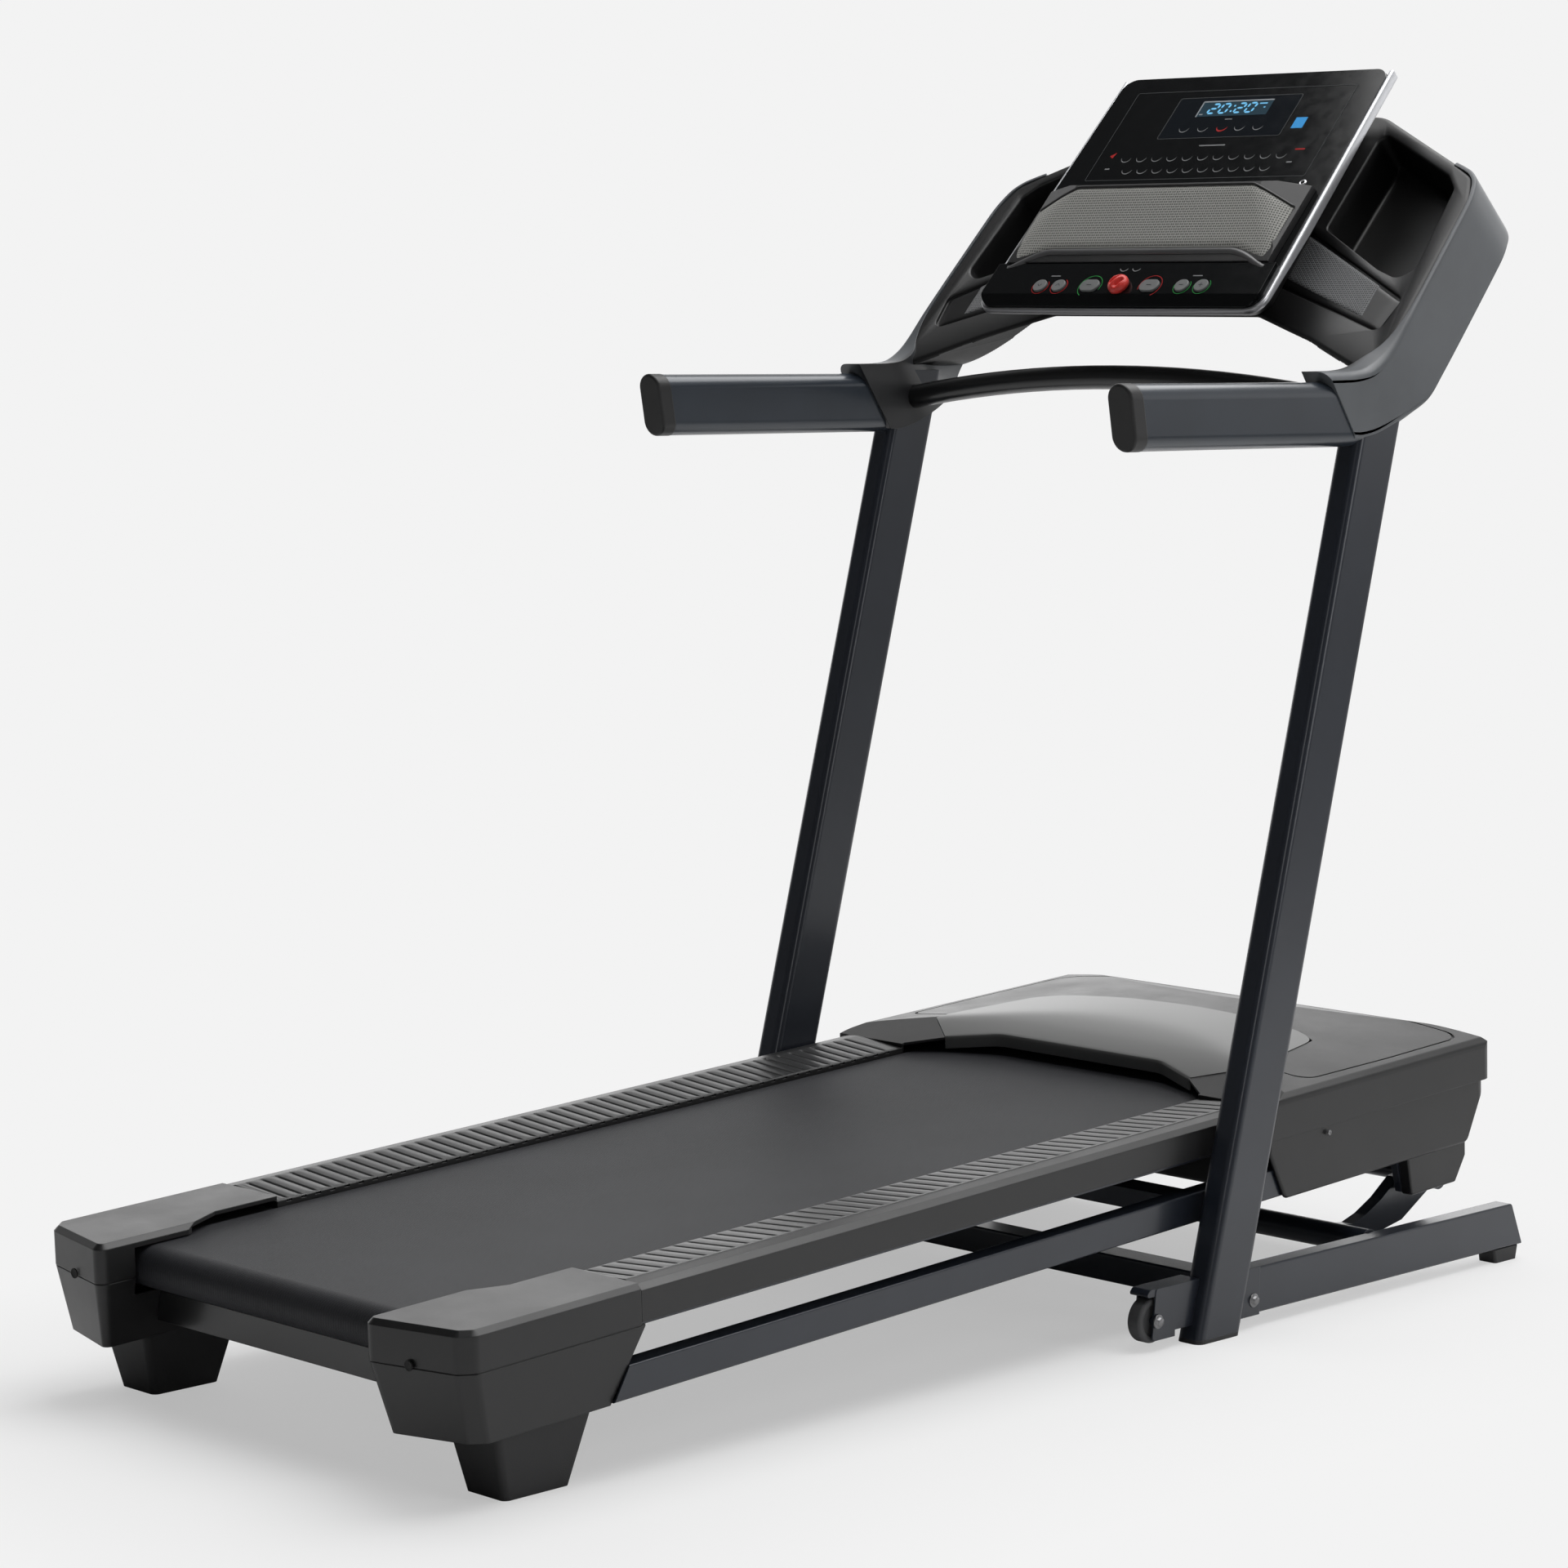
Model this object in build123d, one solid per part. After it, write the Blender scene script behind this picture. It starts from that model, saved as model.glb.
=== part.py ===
from build123d import *
import math
import os

# A folding treadmill.  Millimetres, X to the user's right, Y towards the motor hood, Z up.
# The origin is on the floor, under the middle of the outline.

# ---------------------------------------------------------------- driving dimensions
# Whole machine
belt_width = 508.0
base_front_y = 935.1
running_clearance = 0.05      # radial, round a shaft or pin
seat_gap = 0.3                # between pieces that only rest on each other

# Base frame
base_tube_width = 28.0
base_tube_height = 58.0
base_tube_wall = 3.0
base_tube_bottom = 18.0
base_tube_inset = 11.5       # its outer face, in from the upright's
base_nose_slant = 26.0
base_cross_depth = 44.0
base_cross_height = 36.0
base_cross_y = 372.0
base_saddle_y = 364.0         # front end of the socket round the tube's rear end
base_saddle = 1.6
pad_length = 56.0
pad_taper = 4.0

# Uprights
upright_outer_x = 417.0
upright_width = 38.4
upright_depth = 83.0
upright_corner = 11.0
upright_wall = 2.4
upright_lean = 14.45
upright_foot_y = 233.5        # rear face where it meets the floor
upright_top_z = 1178.0
upright_shoe_height = 5.0

# Transport wheels
wheel_radius = 28.0
wheel_width = 20.0
wheel_inset = 32.0            # centre of the wheel, in from the upright's outer face
wheel_y = 172.0
wheel_lift = 10.0
wheel_tread_corner = 4.0
wheel_dish = 3.0
wheel_pin_radius = 5.0
fork_plate = 3.0
fork_gap = 2.0                # beside the wheel
fork_half_width = 16.0
fork_top_z = 78.0
fork_bottom_z = 14.0
guard_thickness = 9.0

# Handlebars and the bar between the uprights
handle_height = 80.0
handle_width = 37.0
handle_wall = 2.2
handle_top_z = 1173.0
handle_rear_y = 92.0
handle_slant = 11.0
handle_cap_length = 22.0
handle_cap_edge = 3.5
crossbar_radius = 16.0
crossbar_wall = 2.0
crossbar_end_z = 1141.0
crossbar_rise = 32.0

# Console plane: origin at the lower middle of the face, sloping away from the user
console_y = 553.0
console_z = 1286.0
console_slope = 47.3
console_top_s = 402.0
console_bottom_s = -31.0
console_top_half = 226.0
console_bottom_half = 240.0
console_corner = 22.0
panel_thickness = 6.0
rim_width = 7.0
rim_depth = 16.0
rim_inner = 2.0               # how far the rim's lip reaches over the face
shell_depth = 40.0
display_half = 104.0
display_s0 = 282.0
display_s1 = 358.0
display_thickness = 2.0
housing_front_n = -68.0
housing_depth = 102.0
housing_wall = 4.0
housing_shoulder_s = 272.0    # where the back starts to slope in
housing_taper = 12.5          # how much narrower each side is at the top
housing_top_depth = 12.0      # depth left at the top edge
housing_edge = 5.0
pocket_depth = 82.0
tray_depth = 4.0
cheek_proud = 2.0             # outside the upright
cheek_thickness = 14.0
cheek_corner = 46.0
cheek_edge = 5.0
holder_lip = 32.0
holder_foot_n = 12.0
holder_low_s = 66.0
holder_top_s = 158.0
holder_low_half = 222.0
holder_top_half = 158.0
mesh_thickness = 1.2
key_face_top_s = 42.0         # top edge of the key panel
key_panel_n = 9.0             # how proud the key panel stands
key_height = 20.0
key_seat = 4.0                # depth of a key's pocket
key_depth = 3.0
key_travel = 1.2
safety_key_radius = 15.0
safety_key_height = 17.0

# Running deck, drawn level and then tilted about the rear feet
deck_tilt = 2.9
rear_foot_y = -782.0
deck_top = 193.0              # upper face of the belt
belt_thickness = 2.0
roller_radius = 23.0
roller_shaft_radius = 4.5
rear_roller_y = -848.0
front_roller_y = 600.0
board_thickness = 18.0
frame_width = 30.0
frame_bottom = 161.0
frame_outer_x = 364.0
frame_rear_y = -868.0
frame_front_y = 900.0
frame_wall = 2.5
rail_outer_x = 366.3
rail_start_y = -650.0
rail_end_y = 432.0
rib_pitch = 22.0
rib_gap = 8.0
rib_depth = 2.6
rail_rise = 6.6               # inner edge above the belt
rail_crest = 13.4             # highest line above the belt
rail_crest_x = 341.0
lower_tube_bottom = 83.5
lower_tube_height = 37.5
lower_tube_width = 28.0
lower_tube_outer_x = 366.0
rear_cross_y = -840.0
rear_cross_depth = 38.0
rear_cross_bottom = 100.0
rear_cross_height = 36.0
lower_tube_front_y = 850.0
cap_inner_x = 231.0
cap_rear_y = -928.0
cap_wall = 3.0
cap_corner = 12.0
cap_bevel = 6.0
cap_seam_depth = 1.2
cap_toe_y = -696.0            # front of the cap at its bottom
foot_height = 80.0
foot_x = 304.7
foot_length = 92.0
foot_width = 62.0

# Motor hood
hood_half = 375.5
hood_rear_y = 433.0
hood_front_y = 912.0
hood_split = 160.0
hood_bottom = 80.0
hood_wall = 3.0
hood_edge = 8.0
hood_corner = 20.0
hood_step = 3.5               # how far the lower cover stands in under the band
hood_crown = 241.0
hood_side_top = 208.0
lid_groove = 3.0
plate_rear_y = 500.0
plate_front_y = 724.0

# Lift frame and fold pivot
lift_y = 630.0
lift_z = 62.0
lift_tube_radius = 17.0
lift_pin_radius = 6.0
lift_arm_x = 316.0
lift_arm_thickness = 18.0
pivot_y = 820.0
pivot_z = 116.0
pivot_boss_radius = 15.5
sleeve_radius = 12.0
sleeve_wall = 3.0
bracket_x = 340.0
bracket_thickness = 10.0
guard_plate_x = 366.0         # outer face of the pivot's guard

# Drive
motor_y = 770.0
motor_z = 146.0
motor_radius = 44.0
motor_length = 170.0
flywheel_radius = 56.0
flywheel_width = 22.0
drive_pulley_radius = 15.0
roller_pulley_radius = 30.0

# ---------------------------------------------------------------- frames and helpers
deck_frame = Pos(0, rear_foot_y, 0) * Rot(deck_tilt, 0, 0) * Pos(0, -rear_foot_y, 0)
slope = math.radians(console_slope)
console_plane = Plane(
    origin=(0, console_y, console_z),
    x_dir=(1, 0, 0),
    z_dir=(0, -math.sin(slope), math.cos(slope)),
)
lean = math.radians(upright_lean)
upright_centre_x = upright_outer_x - upright_width / 2
upright_inner_x = upright_outer_x - upright_width
base_tube_outer_x = upright_outer_x - base_tube_inset
wheel_x = upright_outer_x - wheel_inset
housing_half = upright_outer_x + cheek_proud - cheek_thickness
handle_x = upright_outer_x - handle_width / 2
roller_z = deck_top - belt_thickness - seat_gap - roller_radius
cap_seam_z = frame_bottom


def in_deck(y, z):
    """Deck coordinates of a point given on the floor's axes."""
    point = deck_frame.inverse() * Pos(0, y, z)
    return point.position.Y, point.position.Z


def side_solid(points, x0, x1):
    """Extrude a (Y, Z) outline across the machine from x0 to x1."""
    return extrude(Plane.YZ.offset(x0) * Polygon(*points, align=None), amount=x1 - x0, dir=(1, 0, 0))


def cross_solid(points, y0, y1):
    """Extrude an (X, Z) outline along the machine from y0 to y1."""
    plane = Plane(origin=(0, y0, 0), x_dir=(1, 0, 0), z_dir=(0, -1, 0))
    return extrude(plane * Polygon(*points, align=None), amount=y1 - y0, dir=(0, 1, 0))


def plan_solid(points, z0, z1):
    """Extrude an (X, Y) outline upwards from z0 to z1."""
    return extrude(Plane.XY.offset(z0) * Polygon(*points, align=None), amount=z1 - z0, dir=(0, 0, 1))


def rounded(points):
    """A closed outline of (x, y, corner radius) points."""
    sketch = Polygon(*[(x, y) for x, y, radius in points], align=None)
    for x, y, radius in points:
        if radius:
            corner = sketch.vertices().sort_by_distance((x, y, 0))[0]
            sketch = fillet(corner, radius=radius)
    return sketch


def rounded_side(points, x0, x1):
    """Extrude a rounded (Y, Z) outline across the machine from x0 to x1."""
    return extrude(Plane.YZ.offset(x0) * rounded(points), amount=x1 - x0, dir=(1, 0, 0))


def rounded_plan(points, z0, z1):
    """Extrude a rounded (X, Y) outline upwards from z0 to z1."""
    return extrude(Plane.XY.offset(z0) * rounded(points), amount=z1 - z0, dir=(0, 0, 1))


def rounded_cross(points, y0, y1):
    """Extrude a rounded (X, Z) outline along the machine from y0 to y1."""
    plane = Plane(origin=(0, y0, 0), x_dir=(1, 0, 0), z_dir=(0, -1, 0))
    return extrude(plane * rounded(points), amount=y1 - y0, dir=(0, 1, 0))


def box_between(x0, x1, y0, y1, z0, z1):
    """A box given by its six faces."""
    centre = Pos((x0 + x1) / 2, (y0 + y1) / 2, (z0 + z1) / 2)
    return centre * Box(x1 - x0, y1 - y0, z1 - z0)


def rod_x(radius, x0, x1, y, z):
    """A round bar along X."""
    return Pos((x0 + x1) / 2, y, z) * Rot(0, 90, 0) * Cylinder(radius, x1 - x0)


def mirrored(solid):
    """The left-hand copy of a right-hand piece."""
    return mirror(solid, about=Plane.YZ)


parts = {}


def keep_pair(name, right):
    """Keep a right-hand piece and its mirror image."""
    parts[name + "_r"] = right
    parts[name + "_l"] = mirrored(right)


# ---------------------------------------------------------------- base
def upright_rear(z):
    """Y of the upright's rear face at a height."""
    return upright_foot_y + z * math.tan(lean)


def upright_front(z):
    """Y of the upright's front face at a height."""
    return upright_rear(z) + upright_depth


def leaning_prism(width, depth, corner, z0, z1):
    """The upright's section run up its lean between two heights."""
    start = Plane.XY.offset(z0) * Pos(upright_centre_x, upright_rear(z0) + upright_depth / 2)
    section = start * RectangleRounded(width, depth, corner)
    direction = (0, math.sin(lean), math.cos(lean))
    return extrude(section, amount=(z1 - z0) / math.cos(lean), dir=direction)


def make_upright():
    outer = leaning_prism(upright_width, upright_depth, upright_corner, upright_shoe_height, upright_top_z)
    bore = leaning_prism(
        upright_width - 2 * upright_wall,
        upright_depth - 2 * upright_wall,
        upright_corner - upright_wall,
        upright_shoe_height - 1,
        upright_top_z + 1,
    )
    return outer - bore


def make_upright_shoe():
    """A plastic plug that closes the upright's foot."""
    tread = leaning_prism(upright_width, upright_depth, upright_corner, 0, upright_shoe_height)
    inset = 2 * (upright_wall + seat_gap)
    plug = leaning_prism(
        upright_width - inset, upright_depth - inset, upright_corner - inset / 2, 0, 5 * upright_shoe_height
    )
    return tread + plug


def make_base_tube():
    """Floor tube from the upright's front face to the slanted nose, with the lift pin."""
    z0 = base_tube_bottom
    z1 = base_tube_bottom + base_tube_height
    x0 = base_tube_outer_x - base_tube_width
    outline = [
        (upright_front(z0), z0),
        (base_front_y, z0),
        (base_front_y - base_nose_slant, z1),
        (upright_front(z1), z1),
    ]
    tube = side_solid(outline, x0, base_tube_outer_x)
    long_edges = tube.edges().filter_by(Axis.Y)
    tube = fillet(long_edges, radius=3.0)
    bore = side_solid(
        [
            (upright_front(z0) - 20, z0 + base_tube_wall),
            (base_front_y - base_tube_wall - base_nose_slant / 4, z0 + base_tube_wall),
            (base_front_y - base_nose_slant - base_tube_wall, z1 - base_tube_wall),
            (upright_front(z1) - 20, z1 - base_tube_wall),
        ],
        x0 + base_tube_wall,
        base_tube_outer_x - base_tube_wall,
    )
    saddle = side_solid(
        [
            (upright_front(z0), z0 - base_saddle),
            (base_saddle_y, z0 - base_saddle),
            (base_saddle_y, z1 + base_saddle),
            (upright_front(z1 + base_saddle), z1 + base_saddle),
        ],
        x0,
        base_tube_outer_x + base_saddle,
    )
    pin = rod_x(lift_pin_radius, x0 - 25, x0 + base_tube_wall / 2, lift_y, lift_z)
    return tube + saddle - bore + pin


def make_base_cross():
    half = base_tube_outer_x - base_tube_width
    tube = box_between(
        -half, half, base_cross_y - base_cross_depth / 2, base_cross_y + base_cross_depth / 2,
        base_tube_bottom + 2, base_tube_bottom + 2 + base_cross_height,
    )
    tube = fillet(tube.edges().filter_by(Axis.X), radius=3.0)
    wall = base_tube_wall
    bore = box_between(
        -half - 1,
        half + 1,
        base_cross_y - base_cross_depth / 2 + wall,
        base_cross_y + base_cross_depth / 2 - wall,
        base_tube_bottom + 2 + wall,
        base_tube_bottom + 2 + base_cross_height - wall,
    )
    return tube - bore


def make_front_pad():
    """A tapered rubber block under the nose."""
    y1 = base_front_y - 8
    x = base_tube_outer_x - base_tube_width / 2
    foot = Plane.XY * Pos(x, y1 - pad_length / 2) * RectangleRounded(
        base_tube_width, pad_length - 2 * pad_taper, 4
    )
    head = Plane.XY.offset(base_tube_bottom) * Pos(x, y1 - pad_length / 2) * RectangleRounded(
        base_tube_width, pad_length, 4
    )
    return loft([foot, head])


def wheel_place():
    return wheel_y, wheel_radius + wheel_lift


def make_wheel_bracket():
    """A fork behind the upright: a block, two cheeks beside the wheel, a mudguard and the wheel's pin."""
    y, z = wheel_place()
    inner = wheel_width / 2 + fork_gap
    outer = inner + fork_plate
    clear = wheel_radius + fork_gap + 2
    block = side_solid(
        [
            (y + clear, fork_bottom_z + 8),
            (upright_rear(fork_bottom_z + 8), fork_bottom_z + 8),
            (upright_rear(fork_top_z), fork_top_z),
            (y + clear, fork_top_z),
        ],
        wheel_x - outer,
        wheel_x + outer,
    )
    cheek = rounded_side(
        [
            (y - fork_half_width / 2, fork_bottom_z, 4),
            (y + clear + 3, fork_bottom_z, 0),
            (y + clear + 3, fork_top_z, 0),
            (y - 2, fork_top_z, 5),
        ],
        wheel_x - outer,
        wheel_x + outer,
    )
    wheel_room = box_between(
        wheel_x - inner, wheel_x + inner, y - 100, y + clear, 0, z + wheel_radius + fork_gap
    )
    guard = rounded_side(
        [
            (y - wheel_radius + 6, fork_top_z - guard_thickness, 3),
            (y + clear + 3, fork_top_z - guard_thickness, 0),
            (y + clear + 3, fork_top_z, 0),
            (y - wheel_radius + 16, fork_top_z, 5),
        ],
        wheel_x - outer + 1,
        wheel_x + outer - 1,
    )
    pin = rod_x(wheel_pin_radius, wheel_x - outer, wheel_x + outer + 2, y, z)
    return block + (cheek - wheel_room) + guard + pin


def make_wheel():
    y, z = wheel_place()
    face = wheel_x + wheel_width / 2
    tread = rod_x(wheel_radius, face - wheel_width, face, y, z)
    tread = fillet(tread.edges().filter_by(GeomType.CIRCLE), radius=wheel_tread_corner)
    dish = rod_x(wheel_radius - 2 * wheel_tread_corner, face - wheel_dish, face + 1, y, z)
    bore = rod_x(wheel_pin_radius + running_clearance, face - wheel_width - 1, face + 1, y, z)
    return tread - dish - mirror(dish, about=Plane.YZ.offset(wheel_x)) - bore


# ---------------------------------------------------------------- handlebars
def oval_bar(width, height, y0, y1):
    """A flat-oval tube along Y, its top at the handlebar's top line."""
    centre_z = handle_top_z - handle_height / 2
    plane = Plane(origin=(handle_x, y0, centre_z), x_dir=(1, 0, 0), z_dir=(0, 1, 0))
    return extrude(plane * RectangleRounded(width, height, width / 2 - 0.01), amount=y1 - y0, dir=(0, 1, 0))


def handle_end(y, thickness):
    """A slab square to the handlebar's slanted end, its front face through the top line at y."""
    t = math.tan(math.radians(handle_slant))
    z0 = handle_top_z - handle_height - 20
    z1 = handle_top_z + 20
    return side_solid(
        [
            (y + (handle_top_z - z0) * t - thickness, z0),
            (y + (handle_top_z - z0) * t, z0),
            (y - 20 * t, z1),
            (y - 20 * t - thickness, z1),
        ],
        handle_x - handle_width,
        handle_x + handle_width,
    )


def handle_bar_front():
    """Front end of the handlebar, where it butts against the upright."""
    return upright_rear(handle_top_z) + upright_depth / 2


def make_handlebar():
    bar = oval_bar(handle_width, handle_height, handle_rear_y - 20, handle_bar_front())
    bore = oval_bar(
        handle_width - 2 * handle_wall,
        handle_height - 2 * handle_wall,
        handle_rear_y - 30,
        handle_bar_front() + 5,
    )
    upright = leaning_prism(upright_width, upright_depth, upright_corner, 900, upright_top_z + 20)
    tube = bar - bore - handle_end(handle_rear_y, 200) - upright
    return tube.solids().sort_by(Axis.Y)[0]


def make_handle_cap():
    """A domed plug on the slanted end."""
    block = oval_bar(handle_width + 1.0, handle_height + 1.0, handle_rear_y - 90, handle_rear_y + 60)
    cap = block & handle_end(handle_rear_y, handle_cap_length)
    rear = cap.faces().sort_by(Axis.Y)[0].edges()
    cap = fillet(rear, radius=handle_cap_edge)
    inset = 2 * (handle_wall + seat_gap)
    spigot = oval_bar(handle_width - inset, handle_height - inset, handle_rear_y - 30, handle_rear_y + 60)
    return cap + (spigot & handle_end(handle_rear_y + 14, 24))


def crossbar_y():
    """Y of the crossbar's centre line."""
    return upright_rear(crossbar_end_z) + upright_depth / 2 - 6


def make_crossbar():
    """A round tube that arches from one upright to the other."""
    z = crossbar_end_z
    y = crossbar_y()
    half = upright_inner_x
    radius = (half * half + crossbar_rise * crossbar_rise) / (2 * crossbar_rise)
    arc = ThreePointArc((-half - 4, y, z - 0.5), (0, y, z + crossbar_rise), (half + 4, y, z - 0.5))
    start = Plane(origin=arc @ 0, z_dir=arc % 0)
    bar = sweep(start * Circle(crossbar_radius), path=arc)
    bore = sweep(start * Circle(crossbar_radius - crossbar_wall), path=arc)
    room = box_between(-half, half, y - 100, y + 100, z - 100, z + 100)
    return (bar - bore) & room


# ---------------------------------------------------------------- console
def face_prism(points, n0, n1, corner=0.0):
    """Extrude an outline drawn on the console plane from depth n0 to n1."""
    sketch = Polygon(*points, align=None)
    if corner:
        sketch = fillet(sketch.vertices(), radius=corner)
    return extrude(console_plane * Pos(0, 0, n0) * sketch, amount=n1 - n0, dir=console_plane.z_dir)


def face_box(x0, x1, s0, s1, n0, n1, corner=0.0):
    """A plate on the console plane given by its limits."""
    return face_prism([(x0, s0), (x1, s0), (x1, s1), (x0, s1)], n0, n1, corner)


def face_outline(inset=0.0):
    """The console face: a little wider at the bottom, drawn in by an inset."""
    return [
        (-console_bottom_half + inset, console_bottom_s + inset),
        (console_bottom_half - inset, console_bottom_s + inset),
        (console_top_half - inset, console_top_s - inset),
        (-console_top_half + inset, console_top_s - inset),
    ]


def face_half(s):
    """Half the width of the face at a distance up it."""
    share = (s - console_bottom_s) / (console_top_s - console_bottom_s)
    return console_bottom_half + share * (console_top_half - console_bottom_half)


def face_band(s0, s1, inset):
    """The stretch of the face outline between two distances up it, drawn in by an inset."""
    low = face_half(s0) - inset
    high = face_half(s1) - inset
    return [(-low, s0), (low, s0), (high, s1), (-high, s1)]


def edges_above(solid, n):
    """The edges of a solid that lie beyond a depth on the console plane."""
    return ShapeList([e for e in solid.edges() if console_plane.to_local_coords(e.center()).Z > n])


def make_console_panel():
    """The flat gloss plate, with a window for the display."""
    plate = face_prism(
        face_band(key_face_top_s, console_top_s - rim_inner, rim_inner + seat_gap), -panel_thickness, 0
    )
    normal = console_plane.z_dir
    upright_edges = [e for e in plate.edges() if abs((e % 0).dot(normal)) > 0.99]
    upper = sorted(upright_edges, key=lambda e: e.center().Z)[-2:]
    plate = fillet(upper, radius=console_corner)
    window = face_box(
        -display_half - seat_gap, display_half + seat_gap, display_s0 - seat_gap, display_s1 + seat_gap,
        -display_thickness - seat_gap, 5, 4,
    )
    return plate - window


def make_display():
    return face_box(-display_half, display_half, display_s0, display_s1, -display_thickness, 0, 4)


def make_console_rim():
    """The silver band round the sides and the bottom of the face."""
    back_n = -panel_thickness - rim_depth
    outer = face_prism(face_outline(-rim_width), back_n, -panel_thickness, console_corner + 4)
    inner = face_prism(face_outline(rim_inner + 2), back_n - 1, -panel_thickness + 1, console_corner)
    lip_outer = face_prism(face_outline(-rim_width), -panel_thickness - 1, -2, console_corner + 4)
    lip_inner = face_prism(face_outline(rim_inner - seat_gap), -panel_thickness - 2, 0, console_corner)
    band = outer - inner + (lip_outer - lip_inner)
    open_top = face_box(
        -console_top_half * 2, console_top_half * 2, console_top_s - 6, console_top_s + 40, -80, 20
    )
    return band - open_top


def make_console_shell():
    """The moulded back of the display unit, drawn in towards the housing."""
    n_front = -panel_thickness - rim_depth
    front = console_plane * Pos(0, 0, n_front) * Polygon(*face_outline(2), align=None)
    back = console_plane * Pos(0, 0, housing_front_n) * Polygon(*face_outline(46), align=None)
    shell = loft([front, back])
    flange_outline = face_outline(rim_inner + 2 + seat_gap)
    flange = face_prism(flange_outline, n_front - 0.5, -panel_thickness, console_corner)
    shell = shell + flange
    hollow_front = console_plane * Pos(0, 0, -panel_thickness + 1) * Polygon(*face_outline(8), align=None)
    hollow_back = console_plane * Pos(0, 0, housing_front_n + 4) * Polygon(*face_outline(50), align=None)
    return shell - loft([hollow_front, hollow_back])


def make_device_holder():
    """A faceted hump on the face.  Its top edge is the ledge that a tablet leans on."""
    side = Plane(origin=console_plane.origin, x_dir=console_plane.y_dir, z_dir=(1, 0, 0))
    profile = [
        (key_face_top_s + 1, seat_gap),
        (key_face_top_s + 1, holder_foot_n - 1.5),
        (holder_low_s, holder_foot_n),
        (holder_top_s, holder_lip),
        (holder_top_s + 7, holder_lip),
        (holder_top_s + 13, holder_lip - 6),
        (holder_top_s + 20, seat_gap),
    ]
    wedge = extrude(side * Polygon(*profile, align=None), amount=holder_low_half, both=True)
    across = Plane(origin=console_plane.origin, x_dir=(1, 0, 0), z_dir=tuple(-console_plane.y_dir))
    section = [
        (-holder_low_half, 0),
        (holder_low_half, 0),
        (holder_low_half, holder_foot_n - 1),
        (holder_top_half, holder_lip),
        (-holder_top_half, holder_lip),
        (-holder_low_half, holder_foot_n - 1),
    ]
    facets = extrude(across * Polygon(*section, align=None), amount=console_top_s, both=True)
    return wedge & facets


def make_speaker_mesh():
    """The woven grille that lies in the holder's sloping face."""
    run = holder_top_s - holder_low_s
    rise = holder_lip - holder_foot_n
    pitch = math.degrees(math.atan2(rise, run))
    base = console_plane.location * Pos(0, holder_low_s, holder_foot_n) * Rot(pitch, 0, 0)
    margin = 6.0
    outline = [
        (-holder_low_half + 2 * margin, margin), (holder_low_half - 2 * margin, margin),
        (holder_top_half - margin / 2, math.hypot(run, rise) - margin),
        (-holder_top_half + margin / 2, math.hypot(run, rise) - margin),
    ]
    return base * extrude(Polygon(*outline, align=None), amount=mesh_thickness, dir=(0, 0, 1))


def make_key_panel():
    """The lower fascia that carries the keys, a little proud of the face and bevelled below."""
    side = Plane(origin=console_plane.origin, x_dir=console_plane.y_dir, z_dir=(1, 0, 0))
    profile = [
        (console_bottom_s, -panel_thickness), (console_bottom_s, 0),
        (-key_height / 2 - 3, key_panel_n), (key_face_top_s - seat_gap, key_panel_n),
        (key_face_top_s - seat_gap, -panel_thickness),
    ]
    slab = extrude(side * Polygon(*profile, align=None), amount=console_bottom_half, both=True)
    bottom_s = console_bottom_s + rim_inner + seat_gap
    plan = face_prism(face_band(bottom_s, key_face_top_s - seat_gap, rim_inner + seat_gap), -20, 30)
    through = [e for e in plan.edges() if abs((e % 0).dot(console_plane.z_dir)) > 0.99]
    lower = sorted(through, key=lambda e: e.center().Z)[:2]
    panel = slab & fillet(lower, radius=console_corner)
    for x, width in keys.values():
        panel = panel - key_pocket(x, width)
    return panel - key_socket()


# Each key's name, its place across the panel and its width
keys = {
    "key_incline_down": (-137.5, 21.0),
    "key_incline_up": (-105.0, 21.0),
    "key_start": (-51.0, 31.0),
    "key_stop": (51.0, 31.0),
    "key_speed_down": (105.0, 21.0),
    "key_speed_up": (137.5, 21.0),
}


def key_pocket(x, width):
    outline = Pos(x, 0) * RectangleRounded(width + 0.6, key_height + 0.6, key_height / 2)
    return extrude(console_plane * Pos(0, 0, key_panel_n - key_seat) * outline, amount=10)


def key_socket():
    outline = Circle(safety_key_radius - 4 + 0.4)
    return extrude(console_plane * Pos(0, 0, key_panel_n - 9) * outline, amount=20)


def make_key(x, width):
    """A rounded key cap that sinks into its pocket."""
    outline = Pos(x, 0) * RectangleRounded(width, key_height, key_height / 2 - 0.3)
    start = key_panel_n - key_seat + key_travel + seat_gap
    cap = extrude(console_plane * Pos(0, 0, start) * outline, amount=key_panel_n + key_depth - start)
    top = edges_above(cap, key_panel_n + key_depth - 0.1)
    return fillet(top, radius=1.0)


def make_safety_key():
    """The red emergency key: a ribbed knob on a round plug."""
    plug = extrude(
        console_plane * Pos(0, 0, key_panel_n - 8.5) * Circle(safety_key_radius - 4), amount=9
    )
    knob = extrude(
        console_plane * Pos(0, 0, key_panel_n + 0.4) * Circle(safety_key_radius), amount=7, taper=8
    )
    grip = extrude(
        console_plane * Pos(0, 0, key_panel_n + 6) * SlotOverall(2 * safety_key_radius - 6, 11),
        amount=safety_key_height - 6, taper=6,
    )
    return plug + knob + grip


def housing_outline(inset=0.0):
    """Right half outline (x, s, corner radius) of the housing, from the middle bottom to the middle top."""
    side = housing_half - inset
    return [
        (0, 26 + inset, 0),
        (166, 26 + inset, 70),
        (side - 125, -22 + inset, 60),
        (side - 47, -60 + inset, 30),
        (side, -84 + inset, 2),
        (side - housing_taper, 236, 40),
        (side - 52, 291 - inset, 60),
        (187, 384 - inset, 60),
        (0, 392 - inset, 0),
    ]


def full_outline(half):
    """Mirror a right-half outline into a closed one."""
    left = [(-x, s, radius) for x, s, radius in reversed(half) if x > 0]
    return half + left


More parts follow.
